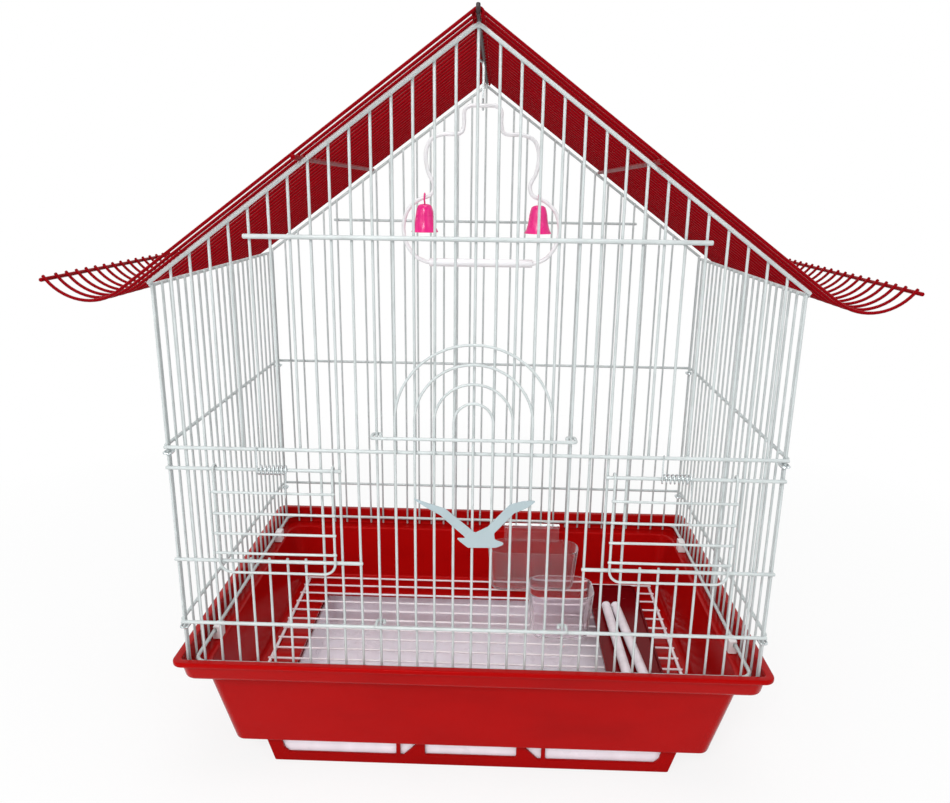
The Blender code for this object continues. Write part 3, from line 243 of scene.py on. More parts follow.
# Swing
SWING_ROD = 1.3
SWING_TOP = 427.0
SWING_OUTLINE = ((8.0, 0.0), (11.9, 3.0), (12.2, 12.0), (15.0, 17.2), (27.0, 18.0), (34.5, 22.0),
                 (37.2, 31.0), (35.8, 41.0), (32.0, 49.5), (34.0, 56.0), (42.5, 59.7), (49.5, 66.5),
                 (52.4, 77.0), (50.5, 88.0), (44.5, 96.5), (37.5, 100.1))
SWING_PERCH_HEIGHT = 326.5
SWING_PERCH_REACH = 35.0
SWING_PERCH_RADIUS = 2.7
SOCKET_DEPTH = 5.0
SOCKET_EDGE = 0.2
PERCH_ROUNDING = 0.4
BELL_PLACE = 38.0
BELL_HEIGHT = 369.169
BELL_WIRE = 0.55
BELL_STEM = 5.4
BELL_BEND = 0.8
BELL_OUTLINE = ((0.0, -4.2), (1.6, -4.2), (3.4, -4.6), (4.7, -5.6), (5.5, -8.0), (6.1, -11.0), (6.5, -14.2),
                (7.0, -17.0), (7.8, -19.8), (9.0, -22.2), (9.15, -22.5), (8.9, -22.6), (8.2, -22.5),
                (6.9, -19.6), (6.0, -17.0), (5.2, -12.0), (4.4, -7.4), (2.6, -6.7), (0.0, -6.6))

# Camera and light, in metres
CAMERA_PLACE = (0.01216, -0.53113, 0.37438)
CAMERA_TURN = (-0.0279, 0.2675, 0.0131)     # yaw, pitch and roll in radians
SENSOR = 36.0
FOCAL_SHARE = 772.0 / 950.0     # the focal length as a share of the picture's width, both in pixels
AMBIENT = 0.45                  # the world's strength for soft light; the background itself is 1
FLOOR_HALF = 12.0
FLOOR_DROP = 0.0005
# Each lamp's name, place, aim, width and watts
LAMPS = (("key", (-0.35, -1.5, 1.3), (0, 0, 0.2), 0.55, 17.0),
         ("left", (-1.3, -1.4, 0.9), (0, 0, 0.2), 0.9, 6.0),
         ("right", (1.4, -1.2, 0.9), (0, 0, 0.2), 0.9, 4.0),
         ("top", (0.1, -0.2, 1.9), (0, 0, 0.1), 1.0, 11.0))

dice = random.Random(11)


class Surface:
    """Points and faces in millimetres, gathered into one piece."""

    def __init__(self):
        self.points = []
        self.faces = []

    def add(self, points, faces):
        start = len(self.points)
        self.points.extend(points)
        self.faces.extend(tuple(start + corner for corner in face) for face in faces)

    def skin(self, loops, closed=False):
        """Quads between loops of one count, with a face at each end unless the skin is closed."""
        count = len(loops[0])
        rings = len(loops)
        faces = []
        for ring in range(rings if closed else rings - 1):
            start = ring * count
            after = ((ring + 1) % rings) * count
            for side in range(count):
                beside = (side + 1) % count
                faces.append((start + side, start + beside, after + beside, after + side))
        if not closed:
            faces.append(tuple(range(count))[::-1])
            faces.append(tuple(range((rings - 1) * count, rings * count)))
        self.add([point for loop in loops for point in loop], faces)

    def tube(self, path, radius, sides=10, closed=False, facing=None):
        """A round wire along a path, with rounded ends."""
        path = [Vector(point) for point in path]
        steps = [(b - a).normalized() for a, b in zip(path, path[1:])]
        if closed:
            steps.append((path[0] - path[-1]).normalized())
            ways = [(steps[n - 1] + steps[n]).normalized() for n in range(len(path))]
        else:
            ways = [steps[0]] + [(a + b).normalized() for a, b in zip(steps, steps[1:])] + [steps[-1]]
        out = facing or (X if abs(ways[0].x) < 0.7 else Z)
        out = (out - ways[0] * out.dot(ways[0])).normalized()
        loops = []
        last = len(path) - 1
        tip = [(0.0, 0.45), (0.16, 0.84), (0.55, 1.0)]      # along and across, as shares of the radius
        for number, (point, way) in enumerate(zip(path, ways)):
            out = (out - way * out.dot(way)).normalized()
            across = way.cross(out)
            marks = [(0.0, 1.0)]
            if not closed and number == 0:
                marks = tip
            if not closed and number == last:
                marks = [(-along, wide) for along, wide in reversed(tip)]
            for along, wide in marks:
                middle = point + radius * along * way
                loops.append(arc(middle, radius * wide, 0, 2 * math.pi, sides, out, across)[:-1])
        self.skin(loops, closed)

    def lathe(self, profile, centre, axis, sides, scale=(1, 1, 1)):
        """A profile of (radius, height) turned about an axis; a radius of 0 closes the end."""
        turn = Z.rotation_difference(axis).to_matrix() @ Matrix.Diagonal(scale)
        points = []
        rings = []
        for radius, height in profile:
            ring = [Z * height]
            if radius:
                ring = arc(ring[0], radius, 0, 2 * math.pi, sides, X, Y)[:-1]
            rings.append(range(len(points), len(points) + len(ring)))
            points += [Vector(centre) + turn @ spot for spot in ring]
        faces = []
        for upper, lower in zip(rings, rings[1:]):
            for side in range(sides):
                beside = (side + 1) % sides
                corners = [lower[side % len(lower)], lower[beside % len(lower)],
                           upper[beside % len(upper)], upper[side % len(upper)]]
                faces.append(tuple(dict.fromkeys(corners)))
        self.add(points, faces)

    def ball(self, centre, radii, sides=8, rings=4):
        """A small round lump, such as the weld where two wires cross."""
        angles = [math.pi * ring / rings for ring in range(1, rings)]
        profile = [(0, 1)] + [(math.sin(angle), math.cos(angle)) for angle in angles] + [(0, -1)]
        self.lathe(profile, centre, Z, sides, radii)

    def bar(self, low, high, steps, radius):
        """A true, straight wire."""
        self.tube(straight(low, high, steps, 0.0), radius, 12)

    def prism(self, outline, depth):
        """A flat outline, anticlockwise about the depth, drawn out by it."""
        self.skin([outline, [point + depth for point in outline]])

    def side_prism(self, section, side, front, back):
        """A section of (x, z) for the right side, mirrored where side is -1 and drawn out in depth."""
        outline = [Vector((side * x, front, z)) for x, z in section]
        self.prism(outline if side < 0 else outline[::-1], Y * (back - front))


def new_object(name, data):
    made = bpy.data.objects.new(name, data)
    bpy.context.scene.collection.objects.link(made)
    return made


def new_mesh(name, surface):
    mesh = bpy.data.meshes.new(name)
    mesh.from_pydata([point * MM for point in surface.points], [], surface.faces)
    mesh.validate()
    mesh.shade_smooth()
    return mesh


def piece(name, surface, material, body, nodes=(), sharp=38, bevel=None):
    """One visible piece, riding on a CAD body and standing for its CAD nodes."""
    mesh = new_mesh(name, surface)
    mesh.set_sharp_from_angle(angle=math.radians(sharp))
    made = new_object(name, mesh)
    if bevel:
        edge = made.modifiers.new("edges", "BEVEL")
        edge.width = bevel * MM
        edge.segments = 3
        edge.limit_method = "ANGLE"
        edge.angle_limit = math.radians(30)
        edge.harden_normals = True
    return finish_piece(made, material, body, nodes)


def finish_piece(made, material, body, nodes):
    made.data.materials.append(material)
    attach(made, body)
    if nodes:
        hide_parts(*nodes)
    return made


# Paths and loops

def bent(points, radius, steps=6):
    """The chain of straight lines with its corners rounded to a radius."""
    points = [Vector(point) for point in points]
    path = [points[0]]
    for before, corner, after in zip(points, points[1:], points[2:]):
        back = (before - corner).normalized()
        on = (after - corner).normalized()
        half = (math.pi - back.angle(on)) / 2
        cut = min(radius * math.tan(half), 0.49 * (before - corner).length, 0.49 * (after - corner).length)
        start = corner + back * cut
        end = corner + on * cut
        for step in range(steps + 1):
            t = step / steps
            path.append(start * (1 - t) ** 2 + corner * (2 * t * (1 - t)) + end * t ** 2)
    return path + [points[-1]]


def arc(centre, radius, start, turn, steps, first, second):
    """Points on an arc in the plane of two directions."""
    angles = [start + turn * step / steps for step in range(steps + 1)]
    return [Vector(centre) + radius * (math.cos(a) * first + math.sin(a) * second) for a in angles]


def smooth_path(points, steps):
    """A curve through all the points, as straight pieces."""
    points = [Vector(point) for point in points]
    padded = [2 * points[0] - points[1]] + points + [2 * points[-1] - points[-2]]
    path = []
    for a, b, c, d in zip(padded, padded[1:], padded[2:], padded[3:]):
        for step in range(steps):
            t = step / steps
            path.append(0.5 * (2 * b + (c - a) * t + (2 * a - 5 * b + 4 * c - d) * t * t
                               + (3 * b - a - 3 * c + d) * t ** 3))
    return path + [points[-1]]


def straight(low, high, steps=6, bow=None, way=X):
    """A straight wire's path, bowed a little sideways where the real wires are not quite true."""
    low = Vector(low)
    high = Vector(high)
    size = dice.uniform(-BOW, BOW) if bow is None else bow
    second = size * dice.uniform(-0.5, 0.5)
    path = []
    for step in range(steps + 1):
        t = step / steps
        shift = size * math.sin(math.pi * t) + second * math.sin(2 * math.pi * t)
        path.append(low.lerp(high, t) + way * shift)
    return path


def rounded_loop(left, right, front, back, height, corner, steps=8):
    """A level rectangle with round corners, anticlockwise from above."""
    centres = [(right - corner, back - corner), (left + corner, back - corner),
               (left + corner, front + corner), (right - corner, front + corner)]
    loop = []
    for quarter, (x, y) in enumerate(centres):
        loop += arc((x, y, height), corner, math.pi / 2 * quarter, math.pi / 2, steps, X, Y)
    return loop


def soft_profile(marks, closed=True):
    """A profile of (left, right, front, back, height, corner, rounding), with its edges rounded."""
    result = []
    steps = 4
    count = len(marks)
    for number, mark in enumerate(marks):
        here = mark[:6]
        if not closed and number in (0, count - 1):
            result.append(here)
            continue
        before = marks[number - 1][:6]
        after = marks[(number + 1) % count][:6]
        rounding = mark[6]

        def toward(other):
            span = math.hypot(other[1] - here[1], other[4] - here[4]) or 1.0
            share = min(rounding / span, 0.45)
            return [a + (b - a) * share for a, b in zip(here, other)]

        start = toward(before)
        end = toward(after)
        for step in range(steps + 1):
            t = step / steps
            result.append([a * (1 - t) ** 2 + b * 2 * t * (1 - t) + c * t ** 2
                           for a, b, c in zip(start, here, end)])
    return result


def gable_height(x):
    return APEX - GABLE_SLOPE * abs(x)


# Materials

def arithmetic(tree, operation, first, second):
    """One sum between two sockets, or between a socket and a number."""
    made = tree.nodes.new("ShaderNodeMath")
    made.operation = operation
    for slot, value in enumerate((first, second)):
        if isinstance(value, bpy.types.NodeSocket):
            tree.links.new(value, made.inputs[slot])
        else:
            made.inputs[slot].default_value = value
    return made.outputs[0]


def span_node(tree, value, low, high, start, end):
    """A value carried over from one range to another."""
    made = tree.nodes.new("ShaderNodeMapRange")
    for name, number in (("From Min", start), ("From Max", end), ("To Min", low), ("To Max", high)):
        made.inputs[name].default_value = number
    tree.links.new(value, made.inputs["Value"])
    return made.outputs[0]


class Look:
    """A material made of nodes, with helpers that add and link them."""

    def __init__(self, name, **values):
        self.material = bpy.data.materials.new(name)
        self.material.use_nodes = True
        self.tree = self.material.node_tree
        self.shader = self.tree.nodes["Principled BSDF"]
        for socket, value in values.items():
            self.shader.inputs[socket.replace("_", " ")].default_value = value
        self.place = self.node("ShaderNodeTexCoord").outputs["Object"]

    def node(self, kind, **inputs):
        made = self.tree.nodes.new(kind)
        for socket, value in inputs.items():
            name = socket.replace("_", " ")
            if isinstance(value, bpy.types.NodeSocket):
                self.tree.links.new(value, made.inputs[name])
            else:
                made.inputs[name].default_value = value
        return made

    def noise(self, scale, detail=3.0, stretch=(1, 1, 1)):
        moved = self.node("ShaderNodeMapping", Vector=self.place, Scale=stretch)
        made = self.node("ShaderNodeTexNoise", Vector=moved.outputs[0], Scale=scale, Detail=detail)
        return made.outputs[0]

    def ramp(self, value, stops):
        made = self.node("ShaderNodeValToRGB", Fac=value)
        elements = made.color_ramp.elements
        while len(elements) < len(stops):
            elements.new(0.5)
        for element, (position, colour) in zip(elements, stops):
            element.position = position
            element.color = (*colour, 1.0)
        return made.outputs[0]

    def span(self, value, low, high, start=0.3, end=0.7):
        return span_node(self.tree, value, low, high, start, end)

    def colour(self, socket):
        self.tree.links.new(socket, self.shader.inputs["Base Color"])

    def rough(self, socket):
        self.tree.links.new(socket, self.shader.inputs["Roughness"])

    def bump(self, value, depth):
        made = self.node("ShaderNodeBump", Height=value, Distance=depth)
        self.tree.links.new(made.outputs[0], self.shader.inputs["Normal"])


def shade(colour, factor):
    return tuple(channel * factor for channel in colour)


def wire_look(name, colour, roughness, grain=0.00006, metallic=0.0, coat=0.0, level=0.5, tint=(1, 1, 1)):
    """Coated or plated wire: the coat is slightly uneven, duller in places and dimpled."""
    look = Look(name, Metallic=metallic, Coat_Weight=coat, Coat_Roughness=0.12, Specular_IOR_Level=level,
                Specular_Tint=(*tint, 1.0))
    patches = look.noise(90.0)
    stops = [(0.3, shade(colour, 0.9)), (0.55, colour), (0.75, shade(colour, 1.06))]
    look.colour(look.ramp(patches, stops))
    look.rough(look.span(look.noise(400.0), roughness - 0.07, roughness + 0.1))
    look.bump(look.noise(900.0, 4.0), grain)
    return look.material


def plastic_look(name, colour, roughness, dark=0.86, flow=(1, 1, 1), tint=(1, 1, 1), level=0.5):
    """Moulded plastic: a gloss that varies a little, faint flow streaks and a fine orange peel."""
    look = Look(name, Specular_IOR_Level=level, Specular_Tint=(*tint, 1.0))
    streaks = look.noise(14.0, 5.0, flow)
    stops = [(0.28, shade(colour, dark)), (0.52, colour), (0.78, shade(colour, 1.08))]
    look.colour(look.ramp(streaks, stops))
    look.rough(look.span(look.noise(60.0, 4.0), roughness - 0.05, roughness + 0.07))
    look.bump(look.noise(260.0), 0.00004)
    return look.material


white_wire = wire_look("coated_wire_white", (0.54, 0.585, 0.585), 0.34, coat=0.1)
# Painted light: the grille is the same white coated wire as the walls, but its colour is made lighter and
# pinker, standing in for the light the grille catches inside the red tub.
grille_wire = wire_look("coated_wire_grille_painted_light", (0.84, 0.78, 0.81), 0.4)
red_wire = wire_look("coated_wire_red", (0.22, 0.001, 0.004), 0.38, level=0.1, tint=(1.0, 0.15, 0.15))
dark_wire = wire_look("coated_wire_dark", (0.02, 0.006, 0.008), 0.45, grain=0.00015)
bright_wire = wire_look("plated_wire", (0.66, 0.71, 0.72), 0.24, metallic=0.85)
red_gloss = {"tint": (1.0, 0.12, 0.12), "level": 0.16}
red_plastic = plastic_look("moulded_red", (0.37, 0.002, 0.002), 0.18, flow=(1, 1, 3), **red_gloss)
drawer_red = plastic_look("moulded_red_drawer", (0.33, 0.002, 0.002), 0.2, flow=(1, 1, 3), **red_gloss)
# Painted shade: the trough is red moulded plastic, but its red is made far darker than the tub's, standing
# in for the deep shade beside the loose perches.
trough_red_painted_shade = plastic_look("moulded_red_painted_shade", (0.13, 0.001, 0.003), 0.22, **red_gloss)
tray_white = plastic_look("moulded_white_tray", (0.88, 0.84, 0.91), 0.3, dark=0.95, flow=(6, 0.6, 1))
clip_white = plastic_look("moulded_white", (0.86, 0.82, 0.82), 0.3, dark=0.95)
swing_white = plastic_look("moulded_white_swing", (0.84, 0.84, 0.86), 0.22, dark=0.94)
perch_look = plastic_look("moulded_perch", (0.78, 0.72, 0.76), 0.42, dark=0.85, flow=(1, 8, 1))
bell_look = plastic_look("moulded_magenta", (0.80, 0.012, 0.22), 0.24, dark=0.85)
bird_look = plastic_look("painted_bird", (0.40, 0.49, 0.52), 0.3, dark=0.9)


def clear_look():
    """Clear brittle plastic with a soft haze in patches."""
    look = Look("clear_plastic", Base_Color=(0.99, 0.95, 0.97, 1.0), IOR=1.25)
    turned = look.node("ShaderNodeLayerWeight", Blend=0.5).outputs["Facing"]
    clear = look.span(turned, 0.97, 0.3, 0.5, 0.95)
    look.tree.links.new(clear, look.shader.inputs["Transmission Weight"])
    look.rough(look.span(look.noise(45.0), 0.02, 0.1))
    look.bump(look.noise(70.0, 2.0), 0.0002)
    return look.material


clear_plastic = clear_look()


# Wire walls

def cross(surface, place, flat=1):
    """The weld where an upright and a cross wire meet, a little uneven, and flatter along one axis."""
    radii = [BEAD * dice.uniform(0.9, 1.1)] * 3
    radii[flat] = BEAD_DEEP
    surface.ball(place, radii)


def end_wall(name, side, nodes):
    """The front wall (side -1) or the back wall (side 1), with its uprights and cross wires."""
    wall = Surface()
    y = side * HALF_DEPTH
    bar_y = side * (HALF_DEPTH + BAR_OFFSET)
    weld_y = side * (HALF_DEPTH + WIRE - BITE / 2)
    front = side < 0
    for number in range(2 * MIDDLE + 1):
        x = (number - MIDDLE) * PITCH
        place = abs(number - MIDDLE)
        top = gable_height(x) + BITE
        parts = [(FOOT_HEIGHT, top)]
        if front and place < DOOR_POST:
            parts = [(FOOT_HEIGHT, LOW_BAR + STUB), (MID_BAR - STUB, top)]
        elif front and FEEDER_FIRST < place < FEEDER_LAST:
            parts = [(FOOT_HEIGHT, SILL_BAR + STUB), (MID_BAR - STUB, top)]
        for low, high in parts:
            still = 0.0 if place in (0, MIDDLE, DOOR_POST) or high - low < STRAIGHT_BELOW else None
            wall.tube(straight((x, y, low), (x, y, high), bow=still), UPRIGHT)
        heights = [LOW_BAR, MID_BAR, gable_height(x)]
        if front and place >= SILL_BAR_INNER:
            heights.append(SILL_BAR)
        if front and place >= HINGE_BAR_INNER and not FEEDER_FIRST < place < FEEDER_LAST:
            heights.append(HINGE_BAR)
        if place <= GABLE_BAR_COUNT:
            heights.append(GABLE_BAR)
        for height in heights:
            cross(wall, (x, weld_y, height))
    reach = HALF_WIDTH + STUB
    for height in (LOW_BAR, MID_BAR):
        wall.bar((-reach, bar_y, height), (reach, bar_y, height), 8, CROSS_BAR)
    if front:
        for height, inner in ((SILL_BAR, SILL_BAR_INNER), (HINGE_BAR, HINGE_BAR_INNER)):
            start = inner * PITCH - STUB
            for way in (-1, 1):
                wall.bar((way * start, bar_y, height), (way * reach, bar_y, height), 4, CROSS_BAR)
    gable = [(-reach, bar_y, gable_height(reach)), (0, bar_y, APEX), (reach, bar_y, gable_height(reach))]
    wall.tube(bent(gable, GABLE_BEND), CROSS_BAR, 12)
    span = GABLE_BAR_COUNT * PITCH + 2 * STUB
    heavy_y = side * (HALF_DEPTH + (HEAVY_OFFSET if front else BAR_OFFSET))
    radius = HEAVY_BAR if front else CROSS_BAR
    wall.bar((-span, heavy_y, GABLE_BAR), (span, heavy_y, GABLE_BAR), 6, radius)
    piece(name, wall, white_wire, "cage", nodes)


def side_wall(name, side, node):
    wall = Surface()
    x = side * HALF_WIDTH
    bar_x = side * (HALF_WIDTH + BAR_OFFSET)
    heights = (LOW_BAR, MID_BAR, EAVE - 2 * BAR)
    for number in range(SIDE_GAPS + 1):
        y = -SIDE_REACH + 2 * SIDE_REACH / SIDE_GAPS * number
        still = 0.0 if number in (0, SIDE_GAPS) else None
        wall.tube(straight((x, y, FOOT_HEIGHT), (x, y, EAVE - BAR), bow=still, way=Y), UPRIGHT)
        for height in heights:
            cross(wall, (side * (HALF_WIDTH + WIRE - BITE / 2), y, height), 0)
    reach = SIDE_REACH + WIRE + GAP / 2
    for height in heights:
        wall.bar((bar_x, -reach, height), (bar_x, reach, height), 8, CROSS_BAR)
    piece(name, wall, white_wire, "cage", (node,))


def roof(name, side, node):
    """Rafter wires hooked over the ridge wire, flaring up past the eave, on two cross wires."""
    made = Surface()
    away = X * side
    down = away * math.cos(GABLE_ANGLE) - Z * math.sin(GABLE_ANGLE)
    normal = away * math.sin(GABLE_ANGLE) + Z * math.cos(GABLE_ANGLE)
    top = Z * RIDGE_HEIGHT
    flare_start = away * FLARE_START + Z * (gable_height(FLARE_START) + ROOF_RISE)
    centre = flare_start + normal * FLARE_RADIUS
    flare = arc(centre, FLARE_RADIUS, -math.pi / 2, FLARE_ANGLE, 16, down, normal)
    last = math.pi / 2 + GABLE_ANGLE
    hook = arc(top, ROOF_HOOK, last - math.pi, math.pi, 12, -away, Z)
    pitch = 2 * ROOF_INNER / (ROOF_WIRES - 3)
    rows = [-ROOF_OUTER] + [-ROOF_INNER + pitch * number for number in range(ROOF_WIRES - 2)] + [ROOF_OUTER]
    for row in rows:
        shift = Y * (row + side * ROOF_STAGGER)
        slope = straight(hook[-1] + shift, flare[0] + shift, 6, way=Y)
        path = [point + shift for point in hook] + slope[1:-1] + [point + shift for point in flare]
        made.tube(path, RAFTER)
    low_bar = away * RAFTER_BAR + Z * (gable_height(RAFTER_BAR) + ROOF_RISE)
    low_bar -= normal * (WIRE + HEAVY - BITE)
    tip_way = (flare[-1] - flare[-2]).normalized()
    tip_out = Vector((-tip_way.z, 0, tip_way.x)) * side
    tip_bar = flare[-1] - tip_way * TIP_STUB - tip_out * TIP_BAR_OFFSET
    end = Y * RIDGE_END
    made.bar(low_bar - end, low_bar + end, 6, HEAVY)
    made.bar(tip_bar - end, tip_bar + end, 6, TIP_BAR)
    for row in rows:
        y = row + side * ROOF_STAGGER
        made.ball(low_bar + normal * (HEAVY - BITE / 2) + Y * y, (BEAD, ROOF_BEAD, BEAD))
        made.ball(tip_bar + tip_out * (TIP_BAR - BITE / 2) + Y * y, (BEAD_DEEP, ROOF_BEAD, BEAD_DEEP))
    piece(name, made, red_wire, "cage", (node,))


end_wall("wall_front_wires", -1, ("front_panel", "front_wing_left", "front_wing_right", "front_gable"))
end_wall("wall_back_wires", 1, ("back_panel",))
for side, word in SIDES:
    side_wall("wall_%s_wires" % word, side, "side_panel_" + word)
    roof("roof_%s_wires" % word, side, "roof_" + word)


def ridge():
    """The ridge wire with turned-up ends, and a bead of coating that has gathered on each tip."""
    made = Surface()
    tip = Z * (RIDGE_HEIGHT + RIDGE_TIP)
    low = Z * RIDGE_HEIGHT
    end = Y * RIDGE_END
    made.tube(bent([tip - end, low - end, low + end, tip + end], RIDGE_BEND), RIDGE_RADIUS, 12)
    for way in (-1, 1):
        bead = low + end * way + Z * (RIDGE_TIP - RIDGE_BEAD)
        made.ball(bead, (RIDGE_RADIUS, RIDGE_RADIUS, RIDGE_BEAD), 12, 8)
    piece("ridge_rod", made, dark_wire, "cage", ("ridge_wire",))


def ring():
    made = Surface()
    half_width = HALF_WIDTH - WIRE - GAP - BAR
    half_depth = HALF_DEPTH - WIRE - GAP - BAR
    loop = rounded_loop(-half_width, half_width, -half_depth, half_depth, RING_HEIGHT, RING_CORNER, 6)
    made.tube(loop, BAR, 12, closed=True, facing=Z)
    piece("base_ring_wire", made, white_wire, "cage", ("base_ring",))


ridge()
ring()


def corner_ring(name, side, end, height):
    """A thin wire wound round the two uprights that meet in a corner."""
    made = Surface()
    x = side * HALF_WIDTH
    room = WIRE + GAP + THIN
    outer = HALF_DEPTH + room
    inner = SIDE_REACH - room
    near, far = sorted((end * inner, end * outer))
    loop = rounded_loop(x - room, x + room, near, far, height, room * HOOK_CORNER, 4)
    made.tube(loop, THIN, 8, closed=True, facing=Z)
    piece(name + "_wire", made, bright_wire, "cage", (name,))


for side, word in SIDES:
    for end, place in ENDS:
        for height, level in ((LOW_BAR, "low"), (MID_BAR, "high")):
            corner_ring("corner_ring_%s_%s_%s" % (word, place, level), side, end, height - RING_DROP)


# Tub

def funnel(height, inset, rounding):
    """One loop of the funnel at a height, moved inwards by an inset."""
    share = (height - FUNNEL_LOW[2]) / (FUNNEL_TOP[2] - FUNNEL_LOW[2])
    half = FUNNEL_LOW[0] + (FUNNEL_TOP[0] - FUNNEL_LOW[0]) * share - inset
    back = FUNNEL_LOW[1] + (FUNNEL_TOP[1] - FUNNEL_LOW[1]) * share - inset
    front = FUNNEL_LOW_FRONT - (FUNNEL_TOP[1] + FUNNEL_LOW_FRONT) * share + inset
    return (-half, half, front, back, height, FUNNEL_CORNER - inset, rounding)


def tub():
    """Rim, skirt, wire channel, funnel and floor as one moulded shell, with the drawer bay under it.

    The marks go round the shell's wall, and the last number of each is the rounding of that edge.
    """
    def level(width, depth, height, corner, rounding):
        return (-width, width, -depth, depth, height, corner, rounding)

    def rim(inset, height, corner, rounding):
        return level(RIM_WIDTH - inset, RIM_DEPTH - inset, height, corner, rounding)

    under = RIM_TOP - RIM_THICK
    inner_width = HALF_WIDTH + WIRE + GAP
    inner_depth = HALF_DEPTH + WIRE + GAP
    floor_low = FLOOR_TOP - WALL
    marks = [
        rim(0, RIM_TOP, RIM_CORNER, 1.1),
        rim(0, under, RIM_CORNER, 0.8),
        rim(RIM_OVERHANG, under, RIM_CORNER, 0.6),
        rim(SKIRT_INSET, FUNNEL_TOP[2], RIM_CORNER, 2.6),
        funnel(FUNNEL_TOP[2], 0.0, 1.2),
        funnel(FUNNEL_LOW[2], 0.0, 0.8),
        funnel(FUNNEL_LOW[2], WALL, 0.8),
        funnel(floor_low, WALL, 1.5),
        (*HATCH, floor_low, HATCH_CORNER, 0.5),
        (*HATCH, FLOOR_TOP, HATCH_CORNER, 0.7),
        funnel(FLOOR_TOP, WALL, 4.0),
        level(inner_width - LEDGE_WIDE, inner_depth - LEDGE_DEEP, LEDGE, LEDGE_CORNER, 1.6),
        level(inner_width, inner_depth, LEDGE, CHANNEL_CORNER, 0.6),
        rim(RIM_INNER, RIM_TOP, RIM_INNER_CORNER, 0.7),
    ]
    shell = Surface()
    loops = [rounded_loop(*mark)[::-1] for mark in soft_profile(marks)]
    shell.skin(loops, closed=True)
    piece("tub_shell", shell, red_plastic, "cage", ("tub",), sharp=30)
    bay = Surface()
    top = FLOOR_TOP - WALL / 2
    runner = BAY_LOW_WIDTH - RUNNER_WIDTH
    section = [(BAY_TOP_WIDTH, top), (BAY_TOP_WIDTH + BAY_WALL, top), (BAY_LOW_WIDTH + BAY_WALL, 0),
               (runner, 0), (runner, RUNNER_HEIGHT), (BAY_LOW_WIDTH, RUNNER_HEIGHT)]
    for side in (-1, 1):
        bay.side_prism(section, side, BAY_FRONT, BAY_BACK)
    back = [(-1, BAY_BACK - BAY_WALL), (1, BAY_BACK - BAY_WALL), (1, BAY_BACK), (-1, BAY_BACK)]
    bay.skin([[Vector((sign * width, y, z)) for sign, y in back]
              for width, z in ((BAY_LOW_WIDTH + BAY_LAP, 0.0), (BAY_TOP_WIDTH + BAY_LAP, top))])
    piece("tub_bay", bay, red_plastic, "cage", bevel=0.5)


tub()


def clip(name, side, end):
    """A white clip that stands on the ledge and hooks over the base ring."""
    made = Surface()
    ring_x = HALF_WIDTH - WIRE - GAP - BAR
    seat = RING_HEIGHT - BAR - GAP
    lip = RING_HEIGHT + BAR + GAP
    riser = ring_x - BAR - GAP
    inner = riser - CLIP_THICK
    tip = ring_x + BAR / 2
    section = [(inner, FOOT_HEIGHT), (ring_x + BAR, FOOT_HEIGHT), (ring_x + BAR, seat), (riser, seat),
               (riser, lip), (tip, lip), (tip, lip + CLIP_LIP), (inner, lip + CLIP_LIP)]
    middle = end * CLIP_PLACE
    made.side_prism(section, side, middle - CLIP_WIDTH / 2, middle + CLIP_WIDTH / 2)
    piece(name + "_moulded", made, clip_white, "cage", (name,), bevel=0.4)


for side, word in SIDES:
    for end, place in ENDS:
        clip("tub_clip_%s_%s" % (word, place), side, end)


# Drawer

def plate(name, outlines, thick, bevel, front):
    """A flat plate with holes and rounded edges, facing the front, as a mesh object."""
    curve = bpy.data.curves.new(name, "CURVE")
    curve.dimensions = "2D"
    curve.fill_mode = "BOTH"
    curve.extrude = (thick / 2 - bevel) * MM
    curve.bevel_depth = bevel * MM
    curve.bevel_resolution = 2
    curve.offset = -bevel * MM
    for outline in outlines:
        spline = curve.splines.new("POLY")
        spline.points.add(len(outline) - 1)
        spline.use_cyclic_u = True
        for spot, (x, z) in zip(spline.points, outline):
            spot.co = (x * MM, z * MM, 0, 1)
    holder = new_object(name, curve)
    shaped = holder.evaluated_get(bpy.context.evaluated_depsgraph_get())
    mesh = bpy.data.meshes.new_from_object(shaped)
    bpy.data.objects.remove(holder)
    upright = Matrix.Rotation(math.pi / 2, 4, "X")
    mesh.transform(Matrix.Translation((0, (front + thick / 2) * MM, 0)) @ upright)
    mesh.name = name
    mesh.shade_smooth()
    mesh.set_sharp_from_angle(angle=math.radians(30))
    return new_object(name, mesh)


def soft_outline(points, radius, steps=4):
    """A closed outline with its corners rounded."""
    whole = [Vector((x, z, 0)) for x, z in points]
    path = bent([whole[-1]] + whole + [whole[0]], radius, steps)[1:-1]
    return [(point.x, point.y) for point in path]


def open_box(level, low, high, wall, foot, lip):
    """Loops of an open box, from its underside round the lip to its inner floor."""
    flat = 2.2 * foot
    bed = low + wall
    marks = [(*level(low, flat), 0), (*level(low, 0), foot), (*level(high, 0), lip),
             (*level(high, wall), lip), (*level(bed, wall), foot), (*level(bed, wall + flat), 0)]
    return [rounded_loop(*mark) for mark in soft_profile(marks, closed=False)]


def drawer():
    outlines = [soft_outline(FACE_OUTLINE, 1.2), soft_outline(GRIP, 1.2)]
    for side in (-1, 1):
        for shape, radius in ((WINDOW, 2.0), (RAMP, 0.8)):
            outlines.append(soft_outline([(side * x, z) for x, z in shape], radius))
    made = plate("drawer_face", outlines, FACE_THICK, bevel=0.45, front=FACE_FRONT)
    finish_piece(made, drawer_red, "drawer", ("drawer_front",))
    tray = Surface()
    low = RUNNER_HEIGHT + GAP

    def level(height, inset):
        half = BAY_LOW_WIDTH + BAY_LEAN * height - 2 * GAP - inset
        corner = max(TRAY_CORNER - inset, LEAST_CORNER)
        return (-half, half, BAY_FRONT + inset, TRAY_BACK - inset, height, corner)

    tray.skin(open_box(level, low, FACE_TOP - GAP, TRAY_WALL, foot=2.0, lip=0.5))
    piece("drawer_tray_moulded", tray, tray_white, "drawer", ("drawer_tray",), sharp=30)


drawer()


# Floor grille and loose parts

